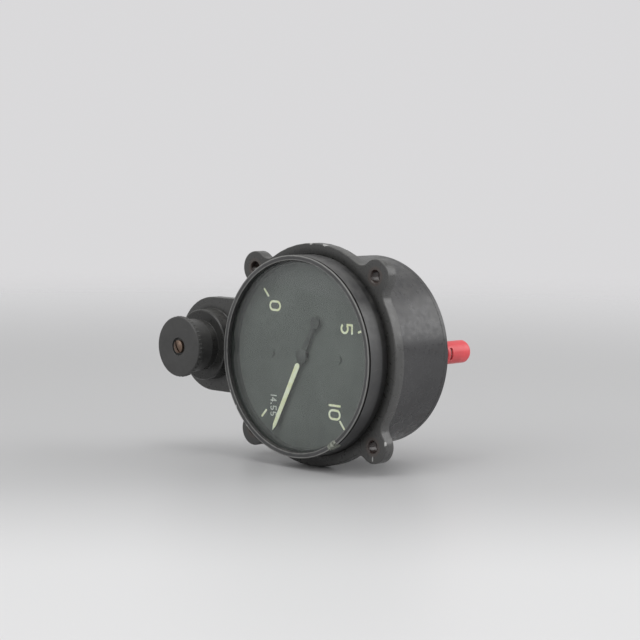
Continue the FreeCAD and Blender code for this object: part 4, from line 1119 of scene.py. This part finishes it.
def build_case():
    """One closed mesh: outside first, then every hole and bore."""
    bm = bmesh.new()
    side = []
    boss = ((BOSS_RADIUS + BOSS_FOOT, 0, 0), (BOSS_RADIUS, 0, BOSS_FOOT), (BOSS_RADIUS, BOSS_FRONT, 0.7),
            (NOSE_RADIUS, BOSS_FRONT, 0.15), (NOSE_RADIUS, NOSE_FRONT, 0.25), (BUSH_RADIUS, NOSE_FRONT, 0),
            (BUSH_RADIUS, POD_CAVITY_FRONT, 0), (POD_CAVITY, POD_CAVITY_FRONT, 0),
            (POD_CAVITY, POD_PLATE_FRONT, 0), (POD_PLATE_SEAT, POD_PLATE_FRONT, 0),
            (POD_PLATE_SEAT, FLANGE_BACK, 0))
    for step in range(6):
        turn = math.radians(90 * step / 5)
        inset = FLANGE_ROUND * (1 - math.sin(turn))
        side.append(outline_ring(bm, inset, FLANGE_ROUND * (1 - math.cos(turn))))
    for step in range(4):
        turn = math.radians(90 * step / 3)
        depth = FLANGE_BACK - BACK_ROUND + BACK_ROUND * math.sin(turn)
        side.append(outline_ring(bm, BACK_ROUND * (1 - math.cos(turn)), depth))
    chain(bm, side)
    front_loops = [side[0]]
    back_loops = [side[-1]]
    for angle in LUG_ANGLES:
        x, z = polar(LUG_CIRCLE_RADIUS, angle)
        sizes = [(LUG_HOLE + LUG_CHAMFER, 0), (LUG_HOLE, LUG_CHAMFER), (LUG_HOLE, FLANGE_BACK - 0.4),
                 (LUG_HOLE - PAINT_RIM, FLANGE_BACK - 0.2), (LUG_HOLE - PAINT_RIM, FLANGE_BACK)]
        rings = [add_ring(bm, ring_points(r, y, SMALL, x, z)) for r, y in sizes]
        chain(bm, rings)
        front_loops.append(rings[0])
        back_loops.append(rings[-1])
    inside = [(BEZEL_SEAT + SEAT_CHAMFER, 0), (BEZEL_SEAT, SEAT_CHAMFER), (BEZEL_SEAT, SKIRT_BACK),
              (PLATE_SEAT, SKIRT_BACK), (PLATE_SEAT, PLATE_BACK), (CASE_BORE, PLATE_BACK),
              (CASE_BORE, CASE_BACK), (CASE_RADIUS, CASE_BACK), (CASE_RADIUS, FLANGE_BACK + CASE_FOOT)]
    for step in (1, 2, 3):
        turn = math.radians(30 * step)
        radius = CASE_RADIUS + CASE_FOOT * (1 - math.cos(turn))
        inside.append((radius, FLANGE_BACK + CASE_FOOT * (1 - math.sin(turn))))
    rings = [add_ring(bm, ring_points(r, y, BIG)) for r, y in inside]
    chain(bm, rings)
    front_loops.append(rings[0])
    back_loops.append(rings[-1])
    rings = [add_ring(bm, ring_points(r, y, MEDIUM, POD_X)) for r, y in rounded(boss)]
    chain(bm, rings)
    front_loops.append(rings[0])
    back_loops.append(rings[-1])
    face_with_holes(bm, front_loops)
    face_with_holes(bm, back_loops)
    casting = finish_mesh(bm, "case_casting")
    for angle in GRUB_ANGLES:
        casting = cut_away(casting, grub_hole(angle))
    return casting


settle(build_case(), "body", "case_paint", ["case_body"])


# %% [markdown]
# ## The bezel
# The bezel is a turned ring. From the front it is only a narrow lip, with the paint worn off its
# two edges, and behind the rim runs a fine groove darkened with painted shade. Its wall is straight, with
# painted shade at its foot on the connector's side.

# %% Bezel
LIP_FOOT = 0.2
BEZEL_STEPS = 192


def build_bezel():
    """The ring's section, from its inner lip round the outside and back to the window."""
    bm = bmesh.new()
    profile = [(BEZEL_LIP, BEZEL_FRONT, 0.12), (BEZEL_RADIUS, BEZEL_FRONT, 0.25),
               (BEZEL_RADIUS, GROOVE_FRONT, 0.06), (GROOVE_FLOOR, GROOVE_FRONT, 0.05),
               (GROOVE_FLOOR, GROOVE_BACK, 0.05), (BEZEL_RADIUS, GROOVE_BACK, 0.06),
               (BEZEL_RADIUS, SKIRT_BACK, 0), (BEZEL_BORE, SKIRT_BACK, 0), (BEZEL_BORE, GASKET_FRONT, 0),
               (WINDOW_OPENING, GASKET_FRONT, 0), (WINDOW_OPENING, GASKET_FRONT - LIP_FOOT, 0)]
    lathe(bm, rounded(profile), BEZEL_STEPS)
    return finish_mesh(bm, "bezel")


settle(build_bezel(), "body", "bezel_paint", ["bezel_ring"])


# %% [markdown]
# ## The window
# A flat glass disc with ground edges. It is modelled as a closed slab, because real glass bends
# the light and makes the dial look a little nearer than it is.

# %% Window
GLASS_RADIUS = 37.0
GLASS_FRONT = -8.4
GLASS_BACK = -6.4
GLASS_EDGE = 0.15
GLASS_RINGS = (0, 36.5, 36.7)


def build_window():
    """Rings just inside the edge keep the smooth shading of the flat faces true."""
    bm = bmesh.new()
    front = [(radius, GLASS_FRONT, 0) for radius in GLASS_RINGS] + [(GLASS_RADIUS, GLASS_FRONT, GLASS_EDGE)]
    back = [(radius, GLASS_BACK, rounding) for radius, _, rounding in reversed(front)]
    lathe(bm, rounded(front + back, 2), BIG, closed=False)
    return finish_mesh(bm, "window_pane")


settle(build_window(), "body", "window_glass", ["window_glass"])


# %% [markdown]
# ## Repeats with Geometry Nodes
# Screws round a cover and ribs round a knob are the same job: copies of one shape on a circle.
# One tree does both. Its inputs are the count, the circle's radius, the first angle and the
# shape, and it ends in real geometry with its material set.

# %% Copies on a circle
COPY_INPUTS = {"Geometry": GEOMETRY, "Shape": "NodeSocketObject", "Count": "NodeSocketInt", "Radius": FLOAT,
               "First angle": FLOAT, "Centre": VECTOR, "Jitter": FLOAT, "Seed": "NodeSocketInt",
               "Material": "NodeSocketMaterial"}


def make_circle_of_copies():
    """Points on a circle, the shape on each, turned to face outwards and a little at random."""
    tree = bpy.data.node_groups.new("copies_on_a_circle", "GeometryNodeTree")
    for label, kind in COPY_INPUTS.items():
        tree.interface.new_socket(name=label, in_out="INPUT", socket_type=kind)
    tree.interface.new_socket(name="Geometry", in_out="OUTPUT", socket_type=GEOMETRY)
    start = tree.nodes.new("NodeGroupInput").outputs
    index = add(tree, "GeometryNodeInputIndex").outputs[0]
    step = maths(tree, "DIVIDE", math.tau, start["Count"])
    turn = maths(tree, "ADD", product(tree, index, step), start["First angle"])
    across = product(tree, maths(tree, "COSINE", turn), start["Radius"])
    upward = product(tree, maths(tree, "SINE", turn), start["Radius"])
    spot = add(tree, "ShaderNodeCombineXYZ", {0: across, 2: upward}).outputs[0]
    place = vector_maths(tree, "ADD", spot, start["Centre"])
    points = add(tree, "GeometryNodePoints", {"Count": start["Count"], "Position": place}).outputs[0]
    shape = add(tree, "GeometryNodeObjectInfo", {"Object": start["Shape"]}).outputs["Geometry"]
    random_turn = add(tree, "FunctionNodeRandomValue", {2: 0.0, 3: start["Jitter"], "Seed": start["Seed"]},
                      data_type="FLOAT").outputs[1]
    away = maths(tree, "ADD", product(tree, turn, -1.0), random_turn)
    facing = add(tree, "ShaderNodeCombineXYZ", {1: away}).outputs[0]
    placed = {"Points": points, "Instance": shape, "Rotation": facing}
    copies = add(tree, "GeometryNodeInstanceOnPoints", placed).outputs[0]
    real = add(tree, "GeometryNodeRealizeInstances", {"Geometry": copies}).outputs[0]
    finish = {"Geometry": real, "Material": start["Material"]}
    dressed = add(tree, "GeometryNodeSetMaterial", finish).outputs[0]
    end = tree.nodes.new("NodeGroupOutput")
    tree.links.new(dressed, end.inputs[0])
    return tree


CIRCLE_OF_COPIES = make_circle_of_copies()


def copies_on_circle(name, shape, slot, count, radius, first, centre, jitter=0.0, seed=1):
    """A plain mesh object with copies of a shape on a circle, sizes in millimetres and degrees."""
    holder = bpy.data.objects.new(name, bpy.data.meshes.new(name))
    scene.collection.objects.link(holder)
    modifier = holder.modifiers.new("copies", "NODES")
    values = {"Shape": shape, "Count": count, "Radius": radius * MM, "First angle": math.radians(first),
              "Centre": metres(centre), "Jitter": jitter, "Seed": seed, "Material": MATERIALS[slot]}
    modifier.node_group = CIRCLE_OF_COPIES
    for item in CIRCLE_OF_COPIES.interface.items_tree:
        if item.in_out == "INPUT" and item.name in values:
            modifier[item.identifier] = values[item.name]
    scene.view_layers[0].update()
    graph = bpy.context.evaluated_depsgraph_get()
    mesh = bpy.data.meshes.new_from_object(holder.evaluated_get(graph))
    holder.modifiers.remove(modifier)
    holder.data = mesh
    mesh.name = name
    bpy.data.objects.remove(shape)
    return holder


# %% [markdown]
# ## Screws
# A cheese head with a rounded top and a slot. The slot is cut by a Boolean from a thin block, then
# the result is kept as a plain mesh. The same maker serves every screw that shows.

# %% A slotted screw head
DOME_SHARE = 0.93
DOME_EDGE = 0.12


def screw_head(radius, height, dome, slot_width, slot_depth, shank, shank_radius, back=True):
    """A slotted head at the origin. It stands out along +Y, or along -Y when back is False."""
    bm = bmesh.new()
    way = 1 if back else -1
    top = height * way
    profile = []
    for share in (0, 0.25, 0.5, 0.75, 1):
        profile.append((radius * DOME_SHARE * share, top - way * dome * share * share))
    profile += [(radius, top - way * (dome + DOME_EDGE)), (radius, 0)]
    profile += [(shank_radius, 0), (shank_radius, -way * shank), (0, -way * shank)]
    lathe(bm, profile, 40, closed=False)
    head = finish_mesh(bm, "screw_shape")
    cutter = bmesh.new()
    floor_of_slot = top - way * slot_depth
    low = (-radius - 1, min(floor_of_slot, top + way), -slot_width / 2)
    high = (radius + 1, max(floor_of_slot, top + way), slot_width / 2)
    box_mesh(cutter, low, high)
    return cut_away(head, finish_mesh(cutter, "slot_cutter"))


# %% Cover and pod screws
COVER_BACK = 36.2
COVER_SCREW_CIRCLE = 30.6
POD_SCREW_CIRCLE = 13.9
SCREW_JITTER = 3.0
cover_screw = screw_head(radius=2.5, height=1.5, dome=0.35, slot_width=0.7, slot_depth=0.75, shank=6.0,
                         shank_radius=1.2)
cover_screws = copies_on_circle("cover_screw_set", cover_screw, "dark_steel", 4, COVER_SCREW_CIRCLE, 45,
                                (0, COVER_BACK, 0), SCREW_JITTER, seed=4)
settle(cover_screws, "body", "dark_steel", ["cover_screws"])
pod_screw = screw_head(radius=1.6, height=1.0, dome=0.2, slot_width=0.5, slot_depth=0.5, shank=3.0,
                       shank_radius=0.9)
pod_screws = copies_on_circle("pod_screw_set", pod_screw, "dark_steel", 3, POD_SCREW_CIRCLE, 60,
                              (POD_X, FLANGE_BACK, 0), SCREW_JITTER, seed=7)
settle(pod_screws, "body", "dark_steel", ["pod_back_screws"])


# %% [markdown]
# ## The knob
# A turned knob with a wide head, a smooth skirt and a groove before the boss. The head's rim has
# fine ribs for the fingers; they come from the same tree as the screws.

# %% Knob body and ribs
KNOB_HEAD = 11.75
KNOB_SKIRT = 10.4
RIB_RADIUS = 0.5
RIB_COUNT = 44
RIB_INSET = 0.35
RECESS_RADIUS = 3.5
RECESS_BACK = -17.3
HOLLOW_RADIUS = 8.6
HOLLOW_FRONT = -14.5
HUB_RADIUS = 4.4
SPINDLE_BORE = 2.0
SPINDLE_FRONT = -16.8
KNOB_SCREW_BORE = 1.2


def build_knob():
    """From the recess for the screw, over the head and the skirt, and into the hollow behind."""
    bm = bmesh.new()
    profile = [(RECESS_RADIUS, KNOB_FRONT, 0.2), (KNOB_HEAD, KNOB_FRONT, 0.45),
               (KNOB_HEAD, KNOB_HEAD_BACK, 0.3), (KNOB_SKIRT, KNOB_HEAD_BACK + 0.5, 0.2),
               (KNOB_SKIRT, KNOB_BACK, 0.3), (HOLLOW_RADIUS, KNOB_BACK, 0), (HOLLOW_RADIUS, HOLLOW_FRONT, 0),
               (HUB_RADIUS, HOLLOW_FRONT, 0), (HUB_RADIUS, KNOB_BACK, 0), (SPINDLE_BORE, KNOB_BACK, 0),
               (SPINDLE_BORE, SPINDLE_FRONT, 0), (KNOB_SCREW_BORE, SPINDLE_FRONT, 0),
               (KNOB_SCREW_BORE, RECESS_BACK, 0), (RECESS_RADIUS, RECESS_BACK, 0)]
    lathe(bm, rounded(profile), BIG, POD_X)
    return finish_mesh(bm, "knob_body")


def build_rib():
    """A short round bar with a domed front, lying along Y."""
    bm = bmesh.new()
    reach = KNOB_HEAD_BACK - KNOB_FRONT - 0.75
    profile = [(0, 0), (RIB_RADIUS * 0.7, 0.08), (RIB_RADIUS, 0.35), (RIB_RADIUS, reach - 0.2), (0, reach)]
    lathe(bm, profile, 12, closed=False)
    return finish_mesh(bm, "rib_shape", math.radians(60))


settle(build_knob(), "knob_assembly", "knob_plastic", ["knob"])
ribs = copies_on_circle("knob_ribs", build_rib(), "knob_plastic", RIB_COUNT, KNOB_HEAD - RIB_INSET, 0,
                        (POD_X, KNOB_FRONT + 0.4, 0))
settle(ribs, "knob_assembly", "knob_plastic")

# %% [markdown]
# The small brass screw in the middle of the knob holds it on its spindle. The brass has gone
# brown, and its domed head stands a little proud of a shallow recess.

# %% Knob screw
SLOT_ANGLE = 62
knob_screw = screw_head(radius=2.5, height=1.9, dome=0.6, slot_width=0.7, slot_depth=0.9, shank=5.8,
                        shank_radius=KNOB_SCREW_BORE, back=False)
spin = Matrix.Rotation(math.radians(SLOT_ANGLE), 4, "Y")
knob_screw.data.transform(Matrix.Translation((POD_X * MM, RECESS_BACK * MM, 0)) @ spin)
knob_screw.name = "knob_screw_head"
settle(knob_screw, "knob_assembly", "brass", ["knob_screw"])


# %% [markdown]
# ## The dust cap
# A soft red moulded cap on the rear connector. It has a rounded end and a short vent slot near
# its mouth, through which the dark inside shows.

# %% Dust cap
CAP_RADIUS = 4.4
CAP_BORE = 3.76
CAP_MOUTH = 42.6
CAP_BACK = 56.2
CAP_BORE_END = 53.7
CAP_SLOT = (43.9, 45.2)
CAP_SLOT_HALF = 2.3
CAP_SLOT_REACH = 8


def build_cap():
    """The outside and the blind bore are turned apart and meet at the mouth; then the slot is cut."""
    bm = bmesh.new()
    corners = [(CAP_BORE, CAP_MOUTH, 0), (CAP_RADIUS, CAP_MOUTH, 0.15), (CAP_RADIUS, CAP_BACK - 1.2, 0.6)]
    corners += [(CAP_RADIUS - 0.45, CAP_BACK - 0.4, 0.3), (CAP_RADIUS - 1.4, CAP_BACK, 0.4), (0, CAP_BACK, 0)]
    lathe(bm, rounded(corners), MEDIUM, CONNECTOR_X, closed=False)
    bore = [(0, CAP_BORE_END), (CAP_BORE, CAP_BORE_END), (CAP_BORE, CAP_MOUTH)]
    lathe(bm, bore, MEDIUM, CONNECTOR_X, closed=False)
    cap = finish_mesh(bm, "red_cap")
    cutter = bmesh.new()
    low = (CONNECTOR_X, CAP_SLOT[0], -CAP_SLOT_HALF)
    high = (CONNECTOR_X + CAP_SLOT_REACH, CAP_SLOT[1], CAP_SLOT_HALF)
    box_mesh(cutter, low, high)
    return cut_away(cap, finish_mesh(cutter, "slot_cutter"))


settle(build_cap(), "cap", "red_plastic", ["dust_cap"])


# %% [markdown]
# ## The inspection seal
# A smear of varnish pressed over the lip of the bezel, so that nobody opens it unseen. It is a thin
# skin that starts on the window, follows the lip and runs down the wall, thickest on the edge.

# %% Inspection seal
SEAL_ANGLE = -57.0
SEAL_HALF_WIDTH = 2.7
SEAL_THICKNESS = 0.38
SEAL_PATH = ((35.45, -8.55), (WINDOW_OPENING, -9.3), (BEZEL_LIP, BEZEL_FRONT), (37.2, BEZEL_FRONT),
             (37.9, BEZEL_FRONT), (BEZEL_RADIUS, -9.8), (BEZEL_RADIUS, -8.6), (BEZEL_RADIUS, -7.4),
             (BEZEL_RADIUS, -6.4))
SEAL_UNDERSIDE = -0.03
SEAL_COLUMNS = 22


def path_points(path, steps):
    """Points along a path of straight lines, with the outward normal at each."""
    points = []
    for first, second in zip(path, path[1:]):
        along = (Vector(second) - Vector(first)).normalized()
        for step in range(steps):
            spot = Vector(first).lerp(Vector(second), step / steps)
            points.append((spot, Vector((along.y, -along.x))))
    points.append((Vector(path[-1]), Vector((1.0, 0.0))))
    return points


def build_seal():
    """Two grids, the skin's top and its hidden underside, joined round their rim."""
    bm = bmesh.new()
    rng = random.Random(5)
    waves = [(rng.uniform(2, 5), rng.uniform(0, 6), rng.uniform(0, 6)) for _ in range(5)]
    points = path_points(SEAL_PATH, 4)
    across = SEAL_COLUMNS
    grids = ([], [])
    for row, (spot, normal) in enumerate(points):
        share = row / (len(points) - 1)
        wander = 0.10 * math.sin(9 * share + 1) + 0.05 * math.sin(23 * share)
        half = SEAL_HALF_WIDTH * (math.sin(math.pi * min(max(share, 0.04), 0.96)) ** 0.5) * (1 + wander)
        for column in range(across + 1):
            side = 2 * column / across - 1
            lump = 1.0
            for pace, first, second in waves:
                lump += 0.16 * math.sin(pace * side * 2 + first) * math.sin(pace * share * 3 + second)
            rise = SEAL_THICKNESS * lump * (1 - side ** 4) * math.sin(math.pi * share) ** 0.5
            for grid, height in ((grids[0], rise), (grids[1], SEAL_UNDERSIDE)):
                radius, depth = spot + normal * height
                turn = SEAL_ANGLE + math.degrees(half * side / BEZEL_RADIUS)
                x, z = polar(radius, turn)
                grid.append(bm.verts.new((x * MM, depth * MM, z * MM)))
    width = across + 1
    last = len(points) - 1
    rim = [(row, 0) for row in range(last + 1)]
    rim += [(last, column) for column in range(1, width)]
    rim += [(row, across) for row in range(last - 1, -1, -1)]
    rim += [(0, column) for column in range(across - 1, 0, -1)]
    for grid in grids:
        for row in range(len(points) - 1):
            for column in range(across):
                corner = row * width + column
                bm.faces.new((grid[corner], grid[corner + 1], grid[corner + width + 1], grid[corner + width]))
    for (row, column), (next_row, next_column) in zip(rim, rim[1:] + rim[:1]):
        here = row * width + column
        after = next_row * width + next_column
        bm.faces.new((grids[0][here], grids[0][after], grids[1][after], grids[1][here]))
    return finish_mesh(bm, "seal_dab", math.radians(80))


settle(build_seal(), "body", "sealing_compound", ["inspection_seal"])


# %% [markdown]
# ## Floor, backdrop and light
# The object lies on a pale table that fades into the backdrop, with painted shade in darker grey
# round the object. Light comes from wide soft lamps above and in front, from one behind on the right,
# whose reflection lies along the top of the round case, and from the pale room all round.

# %% Floor
FLOOR_Z = -42.3
FLOOR_SIZE = 6.0
# The darker middle of the table is painted shade round the object.
TABLE_PAINTED_SHADE = (0.49, 0.49, 0.494, 1.0)
TABLE_FRONT = (0.69, 0.69, 0.694, 1.0)
TABLE_FAR = (0.70, 0.70, 0.71, 1.0)


def build_floor():
    """A wide disc: darker grey under and behind the object as painted shade, paler in front, and clear to the
    camera far away.
    """
    bm = bmesh.new()
    bmesh.ops.create_circle(bm, cap_ends=True, segments=64, radius=FLOOR_SIZE)
    for vert in bm.verts:
        vert.co.z = FLOOR_Z * MM
    mesh = bpy.data.meshes.new("table")
    bm.to_mesh(mesh)
    bm.free()
    floor = bpy.data.objects.new("table", mesh)
    scene.collection.objects.link(floor)
    material, tree, shader = new_material("table_top")
    place = object_place(tree)
    distance = vector_maths(tree, "LENGTH", place)
    parts = axis_parts(tree, place)
    toward = maths(tree, "SUBTRACT", product(tree, parts["X"], math.sin(AZIMUTH)),
                   product(tree, parts["Y"], math.cos(AZIMUTH)))
    front = blend_colours(tree, spread(tree, toward, 0.02, 0.2), TABLE_PAINTED_SHADE, TABLE_FRONT)
    colour = blend_colours(tree, spread(tree, distance, 0.3, 1.2), front, TABLE_FAR)
    link(tree, shader.inputs["Base Color"], colour)
    shader.inputs["Roughness"].default_value = 0.4
    mesh.materials.append(material)
    clear = add(tree, "ShaderNodeBsdfTransparent").outputs[0]
    camera_ray = add(tree, "ShaderNodeLightPath").outputs["Is Camera Ray"]
    fading = product(tree, spread(tree, distance, 0.35, 1.2), camera_ray)
    mixed = add(tree, "ShaderNodeMixShader", {0: fading, 1: shader.outputs[0], 2: clear}).outputs[0]
    tree.links.new(mixed, tree.nodes["Material Output"].inputs["Surface"])


build_floor()


# %% [markdown]
# Most of the light on a dark satin object is the reflection of the room. The world gives that, and
# the camera sees a plain pale backdrop in its place.

# %% Room light
def build_world():
    """A pale room: one colour for the light, and a plain pale backdrop for what the camera sees."""
    world = bpy.data.worlds.new("room")
    world.use_nodes = True
    scene.world = world
    tree = world.node_tree
    tree.nodes.clear()
    place = add(tree, "ShaderNodeTexCoord").outputs["Generated"]
    height = axis_parts(tree, place)["Z"]
    rising = spread(tree, height, -0.02, 0.5)
    light_colour = blend_colours(tree, rising, (0.55, 0.55, 0.56, 1.0), (0.85, 0.85, 0.85, 1.0))
    light = add(tree, "ShaderNodeBackground", {"Color": light_colour, "Strength": 0.75})
    backdrop = add(tree, "ShaderNodeBackground", {"Color": (0.70, 0.695, 0.705, 1.0), "Strength": 1.0})
    camera_ray = add(tree, "ShaderNodeLightPath").outputs["Is Camera Ray"]
    mixed = add(tree, "ShaderNodeMixShader", {0: camera_ray, 1: light.outputs[0], 2: backdrop.outputs[0]})
    output = tree.nodes.new("ShaderNodeOutputWorld")
    tree.links.new(mixed.outputs[0], output.inputs["Surface"])


def soft_lamp(name, place, wide, high, power):
    """An oblong area lamp aimed at the object, in metres and watts."""
    data = bpy.data.lights.new(name, "AREA")
    data.shape = "RECTANGLE"
    data.size = wide
    data.size_y = high
    data.energy = power
    lamp = bpy.data.objects.new(name, data)
    lamp.location = place
    lamp.rotation_euler = (-Vector(place)).to_track_quat("-Z", "Y").to_euler()
    scene.collection.objects.link(lamp)


build_world()
soft_lamp("top_lamp", (0.35, -0.35, 1.7), wide=1.4, high=1.4, power=11.0)
soft_lamp("front_lamp", (-0.2, -1.5, 1.1), wide=1.2, high=1.2, power=8.0)
soft_lamp("back_lamp", (0.906, 0.982, 0.680), wide=1.2, high=1.0, power=8.7)

# %% [markdown]
